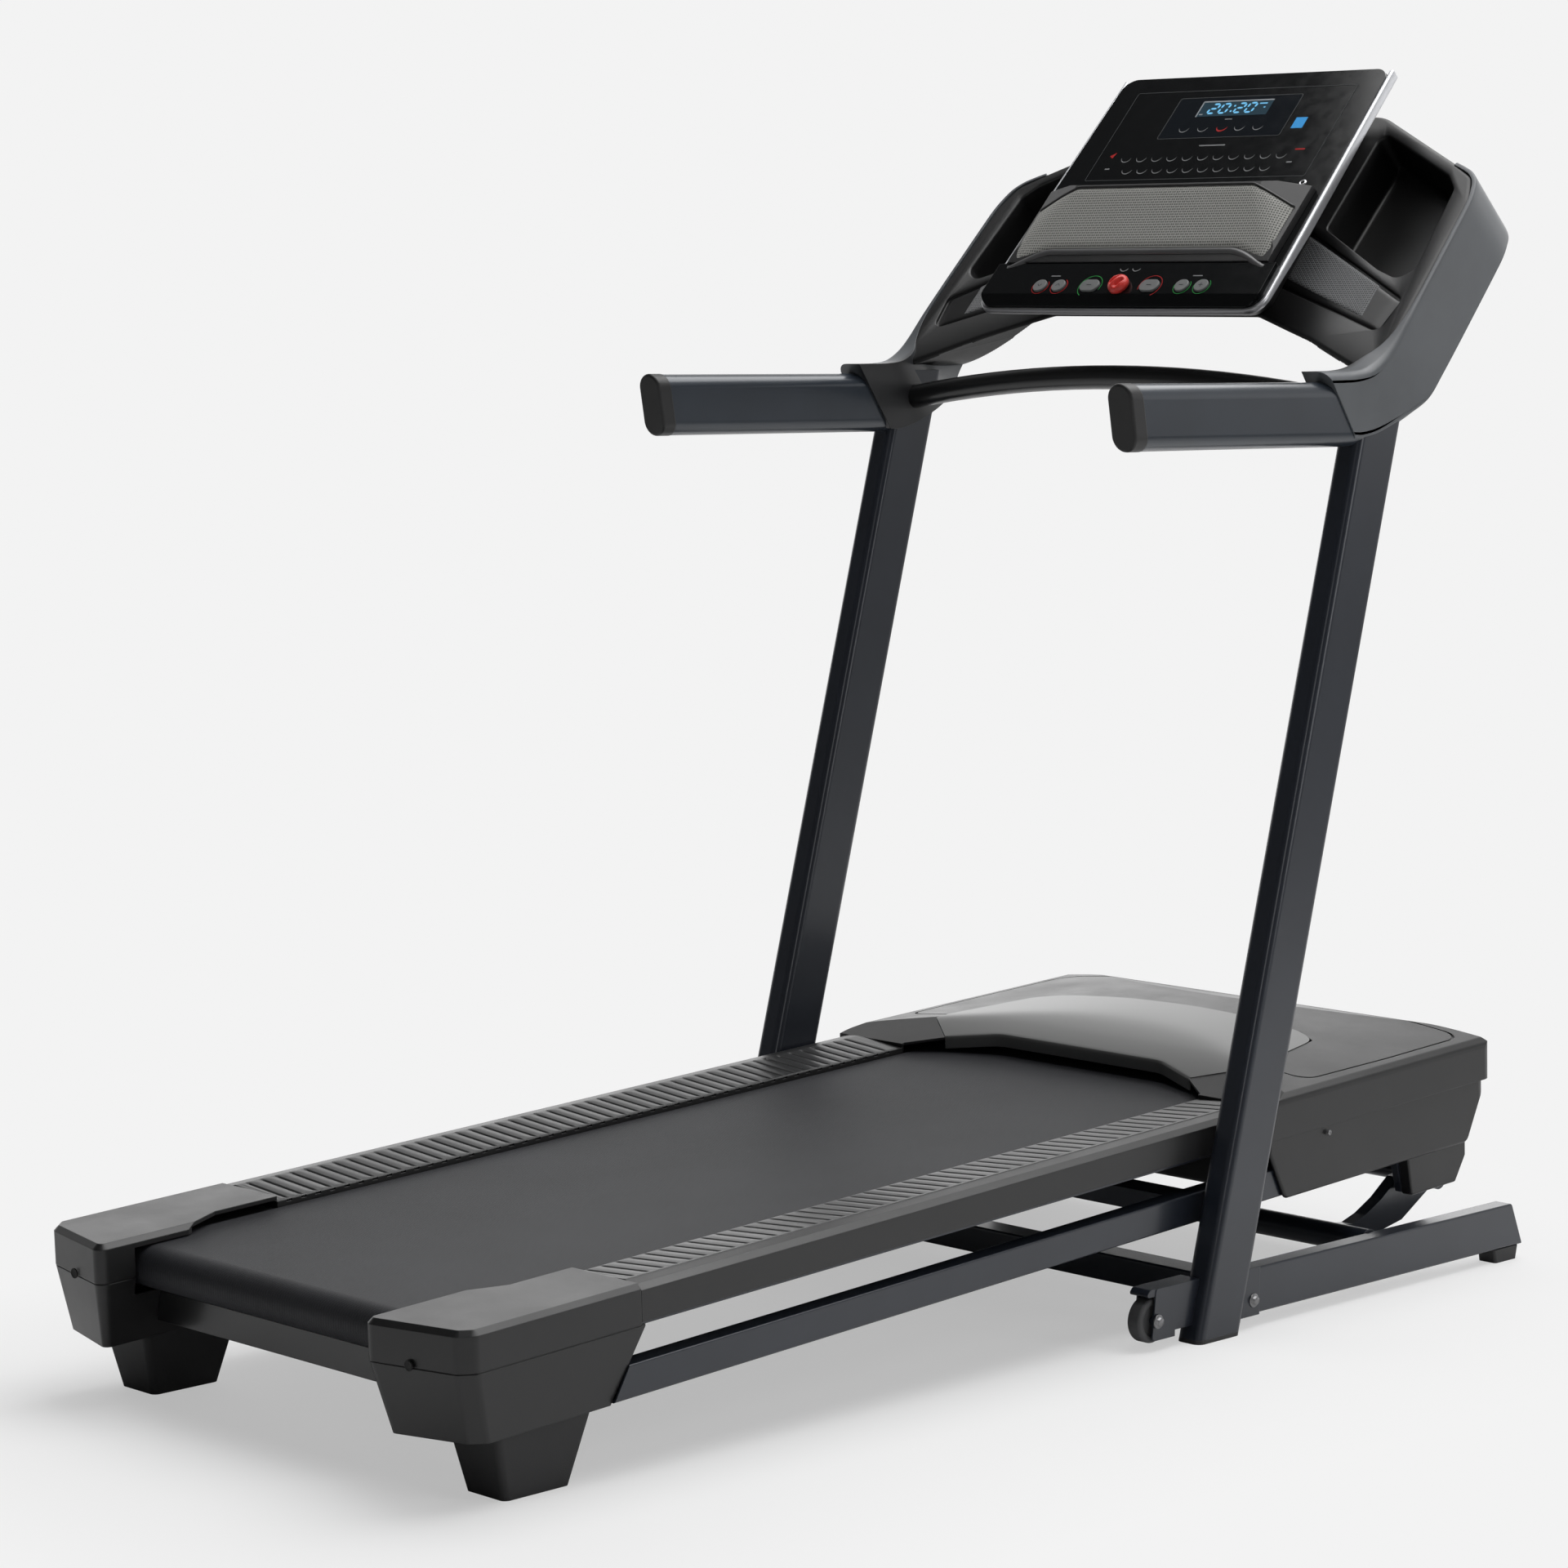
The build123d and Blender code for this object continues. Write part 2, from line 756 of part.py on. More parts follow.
def face_form(points, n0, n1):
    """Extrude a rounded outline drawn on the console plane from depth n0 to n1."""
    return extrude(console_plane * Pos(0, 0, n0) * rounded(points), amount=n1 - n0, dir=console_plane.z_dir)


def housing_back(inset):
    """The room in front of the housing's back, which slopes in towards its top edge."""
    side = Plane(origin=console_plane.origin, x_dir=console_plane.y_dir, z_dir=(1, 0, 0))
    n0 = housing_front_n - housing_depth + inset
    top_n = housing_front_n - housing_top_depth + inset
    profile = [
        (-console_top_s, 0),
        (-console_top_s, n0),
        (housing_shoulder_s - inset, n0),
        (console_top_s, top_n),
        (console_top_s, 0),
    ]
    return extrude(side * Polygon(*profile, align=None), amount=2 * housing_half, both=True)


def pocket_outline(side, grow=0.0):
    """The deep storage pocket beside the display unit, on one side of the machine."""
    edge = housing_half - 24 + grow
    inner = console_bottom_half - 40 - grow
    low = 176 - grow
    points = [
        (inner, low, 10 + grow),
        (edge - 60, low - 72, 10),
        (edge - 20, low - 90, 18),
        (edge, low - 72, 14),
        (edge - 12, 244 + grow, 14),
        (edge - 32, 268 + grow, 18),
        (inner, 352 + grow, 10 + grow),
    ]
    return [(side * x, s, radius) for x, s, radius in points]


def tray_outline(side):
    """The shallow tray for the ribbed mat, below the pocket, on one side of the machine."""
    edge = housing_half - 18
    inner = console_bottom_half - 45
    points = [(inner, 162, 0), (edge, 52, 14), (edge - 7, -8, 14), (inner, 68, 0)]
    return [(side * x, s, radius) for x, s, radius in points]


def make_console_housing():
    """One moulded shell across the machine, with two storage pockets and two trays."""
    n0 = housing_front_n - housing_depth
    outer = face_form(full_outline(housing_outline()), n0, housing_front_n) & housing_back(0)
    outer = fillet(edges_above(outer, housing_front_n - 0.1), radius=housing_edge)
    inner_outline = full_outline(housing_outline(housing_wall))
    hollow = face_form(inner_outline, n0 + housing_wall, housing_front_n - housing_wall)
    shell = outer - (hollow & housing_back(housing_wall))
    room = face_form(full_outline(housing_outline(1.0)), n0 + 1, housing_front_n - 1) & housing_back(1)
    void_room = housing_back(housing_wall)
    for side in (1, -1):
        tub = face_form(pocket_outline(side, 3.0), housing_front_n - pocket_depth - 3, housing_front_n - 1)
        void = face_form(pocket_outline(side), housing_front_n - pocket_depth, housing_front_n + 5)
        shell = shell + (tub & room) - (void & void_room)
        tray = tray_outline(side)
        floor = face_form(tray, housing_front_n - tray_depth - housing_wall, housing_front_n - 1)
        shell = shell + (floor & room) - face_form(tray, housing_front_n - tray_depth, housing_front_n + 5)
    post = leaning_prism(
        upright_width + 2 * seat_gap,
        upright_depth + 2 * seat_gap,
        upright_corner,
        upright_top_z / 2,
        upright_top_z + seat_gap,
    )
    shell = shell - post - mirrored(post)
    return shell.solids().sort_by(SortBy.VOLUME)[-1]


def collar_profile():
    """Side outline (Y, Z, corner radius) of the collar round the joint of upright and handlebar."""
    return [
        (448, 1186, 3),
        (512, 1098, 12),
        (556, 1104, 10),
        (614, 1132, 30),
        (676, 1160, 12),
        (664, 1190, 10),
        (590, 1222, 10),
        (560, 1199, 24),
        (536, 1186, 12),
    ]


def cheek_outline():
    """Outline (x, s, corner radius) of the cover along the housing's side and round its top corner."""
    edge = housing_half + cheek_thickness
    top = edge - housing_taper - 3
    return [
        (edge - 60, -150, 0),
        (edge, -150, 0),
        (top, 262, cheek_corner),
        (top - 92, 322, 0),
        (top - 92, 200, 0),
    ]


def make_arm_cheek():
    """The outer cover of the arm.  Its collar wraps the joint of upright and handlebar."""
    n0 = housing_front_n - housing_depth
    band = face_form(cheek_outline(), n0, housing_front_n)
    outer_edges = [e for e in band.edges() if abs((e % 0.5).dot(console_plane.z_dir)) < 0.01]
    outer_edges = [e for e in outer_edges if e.center().X > housing_half - housing_taper - 10]
    band = fillet(ShapeList(outer_edges), radius=cheek_edge)
    limit = side_solid(
        [(560, 1199), (614, 1132), (676, 1160), (900, 1400), (900, 1520), (780, 1520), (586, 1221)],
        housing_half / 2,
        upright_outer_x + cheek_proud,
    )
    corner_x = housing_half - 56
    corner_room = box_between(corner_x, 2 * corner_x, 0, 2 * console_y, 0, 2 * console_z)
    collar = rounded_side(collar_profile(), upright_inner_x - cheek_proud, upright_outer_x + cheek_proud)
    collar = fillet(collar.faces().sort_by(Axis.X)[-1].edges(), radius=cheek_edge - 1)
    body = (band & limit & corner_room) + collar
    upright = leaning_prism(
        upright_width + 2 * seat_gap,
        upright_depth + 2 * seat_gap,
        upright_corner,
        upright_top_z / 2,
        upright_top_z + seat_gap,
    )
    bar = oval_bar(
        handle_width + 2 * seat_gap, handle_height + 2 * seat_gap, handle_rear_y, handle_bar_front() + 10
    )
    x0 = upright_inner_x
    cross = rod_x(crossbar_radius + 1, x0 - 20, x0 + 1, crossbar_y(), crossbar_end_z)
    room = face_form(full_outline(housing_outline(-seat_gap)), n0 - 1, housing_front_n + 1)
    body = body - upright - bar - cross - room
    return body.solids().sort_by(SortBy.VOLUME)[-1]


# ---------------------------------------------------------------- running deck
def make_side_frame():
    """A rectangular tube with an inner ledge that carries the board."""
    x0 = frame_outer_x - frame_width
    top = deck_top - 0.5
    tube = box_between(x0, frame_outer_x, frame_rear_y, frame_front_y, frame_bottom, top)
    bore = box_between(
        x0 + frame_wall, frame_outer_x - frame_wall, frame_rear_y - 1, frame_front_y + 1,
        frame_bottom + frame_wall, top - frame_wall,
    )
    board_bottom = deck_top - belt_thickness - seat_gap - board_thickness
    ledge = box_between(x0 - 32, x0, -780, 520, board_bottom - 6, board_bottom)
    frame = tube - bore + ledge
    bore_radius = roller_shaft_radius + running_clearance
    for y in (rear_roller_y, front_roller_y):
        frame = frame - rod_x(bore_radius, x0 - 40, frame_outer_x + 1, y, roller_z)
    return frame


def make_board():
    top = deck_top - belt_thickness - seat_gap
    half = frame_outer_x - frame_width - seat_gap
    board = box_between(-half, half, -786, 524, top - board_thickness, top)
    return fillet(board.edges().filter_by(Axis.X), radius=3.0)


def belt_loop(inner_radius, half_width):
    """The closed loop of the belt with a given inside radius."""
    straight = front_roller_y - rear_roller_y
    centre = Pos(0, (front_roller_y + rear_roller_y) / 2, roller_z)
    section = SlotCenterToCenter(straight, 2 * inner_radius)
    plane = Plane(origin=(-half_width, 0, 0), x_dir=(0, 1, 0), z_dir=(1, 0, 0))
    return centre * extrude(plane * section, amount=2 * half_width)


def make_belt():
    inner = roller_radius + seat_gap
    return belt_loop(inner + belt_thickness, belt_width / 2) - belt_loop(inner, belt_width / 2 + 5)


def make_roller(y, pulley):
    half = belt_width / 2 + 8
    roller = rod_x(roller_radius, -half, half, y, roller_z)
    roller = fillet(roller.edges().filter_by(GeomType.CIRCLE), radius=2.0)
    end = frame_outer_x - frame_wall
    roller = roller + rod_x(roller_shaft_radius, -end, end, y, roller_z)
    if pulley:
        roller = roller + rod_x(pulley, -half - 24, -half + 1, y, roller_z)
    return roller


def make_foot_rail():
    """The plastic foot rail, with a bevel outside and cross ribs for grip."""
    inner = belt_width / 2 + 3
    top = deck_top + rail_rise
    crest_z = deck_top + rail_crest
    outline = [
        (inner, deck_top - belt_thickness),
        (inner, top),
        (rail_crest_x, crest_z),
        (rail_outer_x - 9, deck_top + 11.8),
        (rail_outer_x, deck_top + 6.0),
        (rail_outer_x, frame_bottom + 3),
        (frame_outer_x + seat_gap, frame_bottom + 3),
        (frame_outer_x + seat_gap, deck_top - 0.2),
        (frame_outer_x - frame_width - 2, deck_top - 0.2),
        (frame_outer_x - frame_width - 2, deck_top - belt_thickness),
    ]
    rail = cross_solid(outline, rail_start_y, rail_end_y)
    width = rail_crest_x - inner
    count = int((rail_end_y - rail_start_y - 24) // rib_pitch)
    angle = math.degrees(math.atan2(crest_z - top, width))
    groove = Rot(0, -angle, 0) * Pos(width / 2 - 1, 0, 0) * Box(width + 1, rib_gap, 2 * rib_depth)
    cuts = [Pos(inner, rail_start_y + 18 + i * rib_pitch, top) * groove for i in range(count)]
    return rail - cuts


def cap_plan(inner_in, outer_in, rear_in, radius):
    """Plan of the cap's walls (x, y, corner radius), each side drawn in by its own inset."""
    inner = cap_inner_x + inner_in
    outer = rail_outer_x - outer_in
    rear = cap_rear_y + rear_in
    return [
        (inner, rear, radius),
        (outer - 14.3, rear + 26, radius),
        (outer, rear + 42, radius),
        (outer, 0, 0),
        (inner, 0, 0),
    ]


def cap_section(z, inner_in, outer_in, rear_in, radius):
    """The cap's plan laid at a height."""
    return Plane.XY.offset(z) * rounded(cap_plan(inner_in, outer_in, rear_in, radius))


def cap_front_y(z):
    """Y of the slanted front end of the cap's lower half at a height."""
    low = foot_height + 1
    share = (z - low) / (cap_seam_z - low)
    return cap_toe_y + share * (rail_start_y + 6 - cap_toe_y)


def make_end_cap():
    """The moulded rear corner: bevelled top, slanted end face, tapered lower half under a sunk seam."""
    top = deck_top + rail_crest
    low = foot_height + 1
    belt_edge = belt_width / 2 + 3
    upper = rounded_plan(cap_plan(0, 0, 0, cap_corner), cap_seam_z, top)
    bevel = [e for e in upper.faces().sort_by(Axis.Z)[-1].edges() if e.center().Y < 0.45 * cap_rear_y]
    upper = chamfer(ShapeList(bevel), length=cap_bevel)
    step = plan_solid(
        [
            (0, rail_start_y - 150),
            (cap_inner_x, rail_start_y - 150),
            (belt_edge, rail_start_y - 92),
            (belt_edge, 5),
            (0, 5),
        ],
        0,
        top + 1,
    )
    upper = upper - step
    sunk = cap_seam_depth
    groove_z = cap_seam_z - 1.5
    seam = rounded_plan(cap_plan(sunk, sunk, sunk, cap_corner), groove_z, cap_seam_z)
    taper = loft([cap_section(low, 18, 5, 16, 8), cap_section(groove_z, 0.3, 0.3, 0.3, cap_corner)])
    high = cap_seam_z
    lower_room = side_solid(
        [(-1000, low), (cap_front_y(low), low), (cap_front_y(high), high), (-1000, high)], 0, 400
    )
    cap = upper + ((taper + seam) & lower_room)
    wall = cap_wall
    lower_walls = cap_section(low + wall, 18 + wall, 5 + wall, 16 + wall, 5)
    upper_walls = cap_section(cap_seam_z, 1 + wall, 1 + wall, 1 + wall, 9)
    hollow = loft([lower_walls, upper_walls])
    frame_in = rail_outer_x - frame_outer_x - seat_gap
    inside = rounded_plan(cap_plan(wall, frame_in, wall, 8), cap_seam_z - seat_gap, top - 5)
    cap = cap - hollow - inside
    belt_room = box_between(
        0,
        belt_width / 2 + 10,
        rear_roller_y - roller_radius - 6,
        0,
        roller_z - roller_radius - 6,
        deck_top + 1.5,
    )
    cross_room = box_between(
        0,
        belt_width / 2 + 10,
        rear_cross_y - seat_gap,
        rear_cross_y + rear_cross_depth + seat_gap,
        rear_cross_bottom - seat_gap,
        roller_z,
    )
    front_room = box_between(0, 400, rail_start_y - seat_gap, 1, cap_seam_z, 300)
    cap = cap - belt_room - cross_room - front_room
    return cap.solids().sort_by(SortBy.VOLUME)[-1]


def make_rear_foot():
    """A rubber foot under the cap, cut level with the floor at the resting tilt."""
    y = rear_foot_y
    bottom = Plane.XY.offset(-6) * Pos(foot_x, y) * RectangleRounded(foot_width, foot_length, 8)
    top = Plane.XY.offset(foot_height + 1 - seat_gap) * Pos(foot_x, y + 6) * RectangleRounded(
        foot_width + 22, foot_length + 48, 8
    )
    return loft([bottom, top])


def make_lower_tube():
    """Lower chord of the deck, with the bracket that hangs down to the fold pivot."""
    x1 = lower_tube_outer_x
    x0 = x1 - lower_tube_width
    z0 = lower_tube_bottom
    z1 = z0 + lower_tube_height
    wall = frame_wall
    rear_low = cap_front_y(z0) + seat_gap
    rear_high = cap_front_y(z1) + seat_gap
    tube = side_solid(
        [(rear_low, z0), (lower_tube_front_y, z0), (lower_tube_front_y, z1), (rear_high, z1)], x0, x1
    )
    tube = fillet(tube.edges().filter_by(Axis.Y), radius=2.5)
    bore = box_between(
        x0 + wall, x1 - wall, rear_low - 5, lower_tube_front_y + 1, z0 + wall, z1 - wall
    )
    y, z = in_deck(pivot_y, pivot_z)
    bracket = side_solid(
        [
            (y - 98, z0 + 1),
            (y - 84, z - 3),
            (y - 14, z - 6),
            (y - 8, z - 12),
            (y + 10, z - 12),
            (y + 20, z - 2),
            (y + 30, z0 - 3),
            (y + 24, z0 + 1),
        ],
        bracket_x,
        bracket_x + bracket_thickness,
    )
    boss = rod_x(pivot_boss_radius, bracket_x, bracket_x + bracket_thickness, y, z)
    rear_plate = side_solid(
        [
            (rear_high + 22, z0 + 4),
            (rear_high + 22, z1 - 4),
            (rear_high - 12, frame_bottom),
            (rear_high - 52, frame_bottom),
            (rear_high - 44, z0 + 8),
        ],
        x0 + 4,
        x0 + 10,
    )
    front_end = lower_tube_front_y - 4
    front_plate = box_between(x0 + 4, x0 + 10, front_end - 66, front_end, z1 - 1, frame_bottom)
    body = tube - bore + bracket + boss + rear_plate + front_plate
    return body - rod_x(sleeve_radius + running_clearance, bracket_x - 5, bracket_x + 20, y, z)


def make_pivot_guard():
    """A plate under the hood that hides the end of the fold pivot."""
    y, z = in_deck(pivot_y, pivot_z)
    x0 = bracket_x + bracket_thickness + seat_gap
    plate = rounded_side(
        [
            (y - 92, lower_tube_bottom - seat_gap, 0),
            (y - 83, z - 6, 5),
            (y + 15, z - 6, 5),
            (y + 38, lower_tube_bottom - 22, 6),
            (y + 38, lower_tube_bottom - seat_gap, 0),
        ],
        x0,
        guard_plate_x,
    )
    face_edges = plate.faces().sort_by(Axis.X)[-1].edges()
    plate = fillet(face_edges.filter_by(lambda e: e.center().Z < z + 30), radius=3.0)
    inside = rounded_side(
        [
            (y - 89, lower_tube_bottom, 0),
            (y - 80, z - 3, 4),
            (y + 13, z - 3, 4),
            (y + 35, lower_tube_bottom - 20, 4),
            (y + 35, lower_tube_bottom, 0),
        ],
        x0 - 1,
        guard_plate_x - hood_wall,
    )
    return plate - inside


def make_deck_cross(y, half, z0):
    """A tube between the lower chords."""
    tube = box_between(-half, half, y - 20, y + 20, z0, z0 + 26)
    bore = box_between(-half - 1, half + 1, y - 17.5, y + 17.5, z0 + 2.5, z0 + 23.5)
    return tube - bore


def make_rear_cross():
    """The bar under the rear roller, hung from the side frames by an ear at each end."""
    x = frame_outer_x - frame_width
    y1 = rear_cross_y + rear_cross_depth
    z1 = rear_cross_bottom + rear_cross_height
    bar = box_between(-x, x, rear_cross_y, y1, rear_cross_bottom, z1)
    wall = frame_wall
    bore = box_between(
        -x + 12, x - 12, rear_cross_y + wall, y1 - wall, rear_cross_bottom + wall, z1 - wall
    )
    ear = box_between(x - 8, x, rear_cross_y, y1, rear_cross_bottom, deck_top - 26)
    return bar - bore + ear + mirrored(ear)


# ---------------------------------------------------------------- hood
def hood_plan(half, front):
    """A column with the hood's rounded front corners."""
    points = [(-half, 0, 0), (half, 0, 0), (half, front, hood_corner), (-half, front, hood_corner)]
    return rounded_plan(points, 0, 2 * hood_crown)


def hood_solid(drop=0.0):
    """The hood's outer form: a crowned section cut by the side outline, optionally inset."""
    half = hood_half - drop
    side_top = hood_side_top - drop
    crown_foot = side_top + 7
    ends = Polyline((-half, 100), (-half, side_top), (-half + 12, crown_foot))
    ends += ThreePointArc((-half + 12, crown_foot), (0, hood_crown - drop), (half - 12, crown_foot))
    ends += Polyline((half - 12, crown_foot), (half, side_top), (half, 100), (-half, 100))
    plane = Plane(origin=(0, hood_rear_y + drop, 0), x_dir=(1, 0, 0), z_dir=(0, -1, 0))
    body = extrude(plane * make_face(ends), amount=hood_front_y - hood_rear_y - 2 * drop, dir=(0, 1, 0))
    shoulders = [e for e in body.edges().filter_by(Axis.Y) if e.center().Z > side_top - 1]
    body = fillet(ShapeList(shoulders), radius=hood_edge)
    front = hood_front_y - drop
    outline = [
        (hood_rear_y + drop, 90, 0),
        (hood_rear_y + drop, deck_top + 12 - drop, 0),
        (hood_rear_y + 87, 226 - drop, 30),
        (hood_rear_y + 127, 234 - drop, 40),
        (hood_rear_y + 207, 243 - drop, 80),
        (front - 112, 243 - drop, 80),
        (front - 16, 224 - drop, 16),
        (front - 6, 206 - drop, 16),
        (front, 168, 8),
        (front - 6, hood_split, 0),
        (front - 52, 90, 0),
    ]
    return body & rounded_side(outline, -400, 400) & hood_plan(half, front)


def plate_plan(inset=0.0):
    """Plan outline of the silver front plate."""
    rear = plate_rear_y
    front = plate_front_y - inset
    right = [
        (140, rear + inset),
        (212 - inset, rear - 30 + inset),
        (274 - inset, rear + 20),
        (242 - inset, rear + 192),
        (206, front - 10),
        (110, front + 4),
    ]
    left = [(-x, y) for x, y in reversed(right)]
    return right + [(0, front + 8)] + left


def make_hood_plate():
    """The silver plate, turned down in a lip over the belt."""
    outer = hood_solid() & plan_solid(plate_plan(), deck_top + 4, 300)
    inner = hood_solid(hood_wall) & plan_solid(plate_plan(hood_wall), 100, 300)
    return outer - inner


def lid_form(inset):
    """The column under the lid's outline, drawn in by an inset."""
    half = hood_half - 24 - inset
    rear = hood_rear_y + 107 + inset
    front = hood_front_y - 32 - inset
    points = [
        (half - 4, rear, 26),
        (half, (rear + front) / 2, 0),
        (half - 2, front, 30),
        (-half + 2, front, 30),
        (-half, (rear + front) / 2, 0),
        (-half + 4, rear, 26),
    ]
    return rounded_plan(points, deck_top - 10, 2 * hood_crown)


def make_hood_top():
    """The upper shell of the hood, open over the belt, with a sunk line round the lid."""
    shell = hood_solid() & box_between(-400, 400, 400, 1000, hood_split, 300)
    shell = shell - hood_solid(hood_wall)
    shell = shell - plan_solid(plate_plan(-seat_gap), 100, 300)
    mouth = belt_width / 2 + 4
    mouth_right = [
        (mouth, hood_rear_y - 30),
        (mouth, hood_rear_y + hood_wall + 1),
        (212, plate_rear_y - 30),
        (140, plate_rear_y),
    ]
    mouth_left = [(-x, y) for x, y in reversed(mouth_right)]
    mouth_room = plan_solid(mouth_right + mouth_left, 100, 300)
    shell = shell - mouth_room
    frame_room = box_between(
        belt_width / 2, frame_outer_x + seat_gap, 400, frame_front_y + seat_gap, 100, deck_top - 0.2
    )
    shell = shell - frame_room - mirrored(frame_room)
    line = lid_form(0) - lid_form(lid_groove) - hood_solid(lid_groove / 2)
    return (shell - line).solids().sort_by(SortBy.VOLUME)[-1]


def make_hood_lower():
    """The lower cover: two sides, slanted ends and a floor with slots for the lift arms."""
    z1 = hood_split - seat_gap
    half = hood_half - hood_step
    front = hood_front_y - 6 - hood_step
    wall = hood_wall
    rear = hood_rear_y
    outer = rounded_side(
        [
            (rear, z1, 0),
            (rear, hood_split - 16, 8),
            (rear + 31, hood_bottom, 12),
            (front - 44, hood_bottom, 14),
            (front, z1, 0),
        ],
        -half,
        half,
    )
    outer = fillet(outer.faces().sort_by(Axis.Z)[0].edges().filter_by(Axis.Y), radius=4.0)
    corner = hood_plan(half, front)
    inner = side_solid(
        [
            (rear + wall, z1 + 1),
            (rear + wall, hood_split - 15),
            (rear + 33, hood_bottom + wall),
            (front - 46, hood_bottom + wall),
            (front - wall, z1 + 1),
        ],
        -half + wall,
        half - wall,
    )
    cover = (outer & corner) - (inner & hood_plan(half - wall, front - wall))
    slot = box_between(
        lift_arm_x - 6,
        guard_plate_x + 2,
        hood_rear_y + 152,
        lower_tube_front_y + 20,
        hood_bottom - 1,
        hood_bottom + 10,
    )
    tube_room = box_between(
        lower_tube_outer_x - lower_tube_width - 2,
        lower_tube_outer_x + 2,
        hood_rear_y - 10,
        hood_rear_y + 47,
        lower_tube_bottom - 4,
        lower_tube_bottom + lower_tube_height + 30,
    )
    for cut in (slot, tube_room):
        cover = cover - cut - mirrored(cut)
    belt_room = box_between(
        -belt_width / 2 - 6,
        belt_width / 2 + 6,
        hood_rear_y - 10,
        hood_rear_y + 20,
        roller_z - roller_radius - 10,
        hood_split,
    )
    return cover - belt_room


# ---------------------------------------------------------------- lift frame and pivot
def make_lift_frame():
    """Cross tube turning on the base's pins, with two arms that carry the deck's pivot."""
    x_end = base_tube_outer_x - base_tube_width - seat_gap
    tube = rod_x(lift_tube_radius, -x_end, x_end, lift_y, lift_z)
    frame = tube
    for side in (-1, 1):
        x0 = lift_arm_x if side > 0 else -lift_arm_x - lift_arm_thickness
        arm_points = [
            (lift_y - 6, lift_z - 15), (lift_y + 40, lift_z - 12), (lift_y + 130, lift_z + 4),
            (pivot_y - 2, pivot_z - 17.5), (pivot_y + 4, pivot_z + 17), (pivot_y - 70, pivot_z + 8),
            (lift_y + 84, lift_z + 38), (lift_y + 50, lift_z + 22), (lift_y + 22, lift_z + 14),
            (lift_y - 4, lift_z + 16.5),
        ]
        arm = side_solid(arm_points, x0, x0 + lift_arm_thickness)
        low_x, high_x = sorted((side * lift_arm_x, side * (bracket_x - seat_gap)))
        boss = rod_x(pivot_boss_radius, low_x, high_x, pivot_y, pivot_z)
        frame = frame + arm + boss
    bore = rod_x(lift_pin_radius + running_clearance, x_end - 26, x_end + 1, lift_y, lift_z)
    frame = frame - bore - mirrored(bore)
    return frame - rod_x(sleeve_radius + running_clearance, -400, 400, pivot_y, pivot_z)


def make_pivot_sleeve():
    half = bracket_x + bracket_thickness
    tube = rod_x(sleeve_radius, -half, half, pivot_y, pivot_z)
    return tube - rod_x(sleeve_radius - sleeve_wall, -half - 1, half + 1, pivot_y, pivot_z)


# ---------------------------------------------------------------- drive
def make_motor():
    """The drive motor on its foot, with a short shaft towards the flywheel."""
    y, z = motor_y, motor_z
    can = rod_x(motor_radius, -60, motor_length - 60, y, z)
    can = fillet(can.edges().filter_by(GeomType.CIRCLE), radius=4.0)
    foot = box_between(-40, motor_length - 80, y - 30, y + 30, hood_bottom + hood_wall, z)
    bore = rod_x(6 + running_clearance, -61, -30, y, z)
    return can + foot - bore


def make_flywheel():
    y, z = motor_y, motor_z
    wheel = rod_x(flywheel_radius, -92 - flywheel_width, -92, y, z)
    rim = rod_x(flywheel_radius - 8, -92 - flywheel_width - 1, -92 - flywheel_width + 6, y, z)
    shaft = rod_x(6, -277, -34, y, z)
    pulley = rod_x(drive_pulley_radius, -277, -257, y, z)
    return wheel - rim + shaft + pulley


# ---------------------------------------------------------------- assembly
def build():
    keep_pair("upright", make_upright())
    keep_pair("upright_shoe", make_upright_shoe())
    keep_pair("base_tube", make_base_tube())
    parts["base_cross"] = make_base_cross()
    keep_pair("front_pad", make_front_pad())
    keep_pair("wheel_bracket", make_wheel_bracket())
    keep_pair("transport_wheel", make_wheel())
    keep_pair("handlebar", make_handlebar())
    keep_pair("handle_cap", make_handle_cap())
    parts["crossbar"] = make_crossbar()
    keep_pair("arm_cheek", make_arm_cheek())
    parts["console_housing"] = make_console_housing()
    parts["console_shell"] = make_console_shell()
    parts["console_rim"] = make_console_rim()
    parts["console_panel"] = make_console_panel()
    parts["display_glass"] = make_display()
    parts["device_holder"] = make_device_holder()
    parts["speaker_mesh"] = make_speaker_mesh()
    parts["key_panel"] = make_key_panel()
    for name, (x, width) in keys.items():
        parts[name] = make_key(x, width)
    parts["safety_key"] = make_safety_key()
    parts["lift_frame"] = make_lift_frame()
    parts["pivot_sleeve"] = make_pivot_sleeve()
    deck = {
        "deck_board": make_board(),
        "walking_belt": make_belt(),
        "rear_roller": make_roller(rear_roller_y, 0),
        "front_roller": make_roller(front_roller_y, roller_pulley_radius),
        "rear_cross": make_rear_cross(),
        "deck_cross": make_deck_cross(300, lower_tube_outer_x - lower_tube_width, lower_tube_bottom + 5),
        "hood_top": make_hood_top(),
        "hood_plate": make_hood_plate(),
        "hood_lower": make_hood_lower(),
        "drive_motor": make_motor(),
        "flywheel": make_flywheel(),
    }
    pairs = {
        "side_frame": make_side_frame(),
        "foot_rail": make_foot_rail(),
        "end_cap": make_end_cap(),
        "rear_foot": make_rear_foot(),
        "lower_tube": make_lower_tube(),
        "pivot_guard": make_pivot_guard(),
    }
    for name, solid in deck.items():
        parts[name] = deck_frame * solid
    for name, solid in pairs.items():
        keep_pair(name, deck_frame * solid)
    for side in ("_r", "_l"):
        floor_cut = box_between(-500, 500, -1000, 0, -60, 0)
        parts["rear_foot" + side] = parts["rear_foot" + side] - floor_cut


build()
os.makedirs("parts", exist_ok=True)
for name, shape in parts.items():
    shape.label = name
    export_step(shape, os.path.join("parts", name + ".step"))
print(len(parts), "parts")
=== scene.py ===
import math

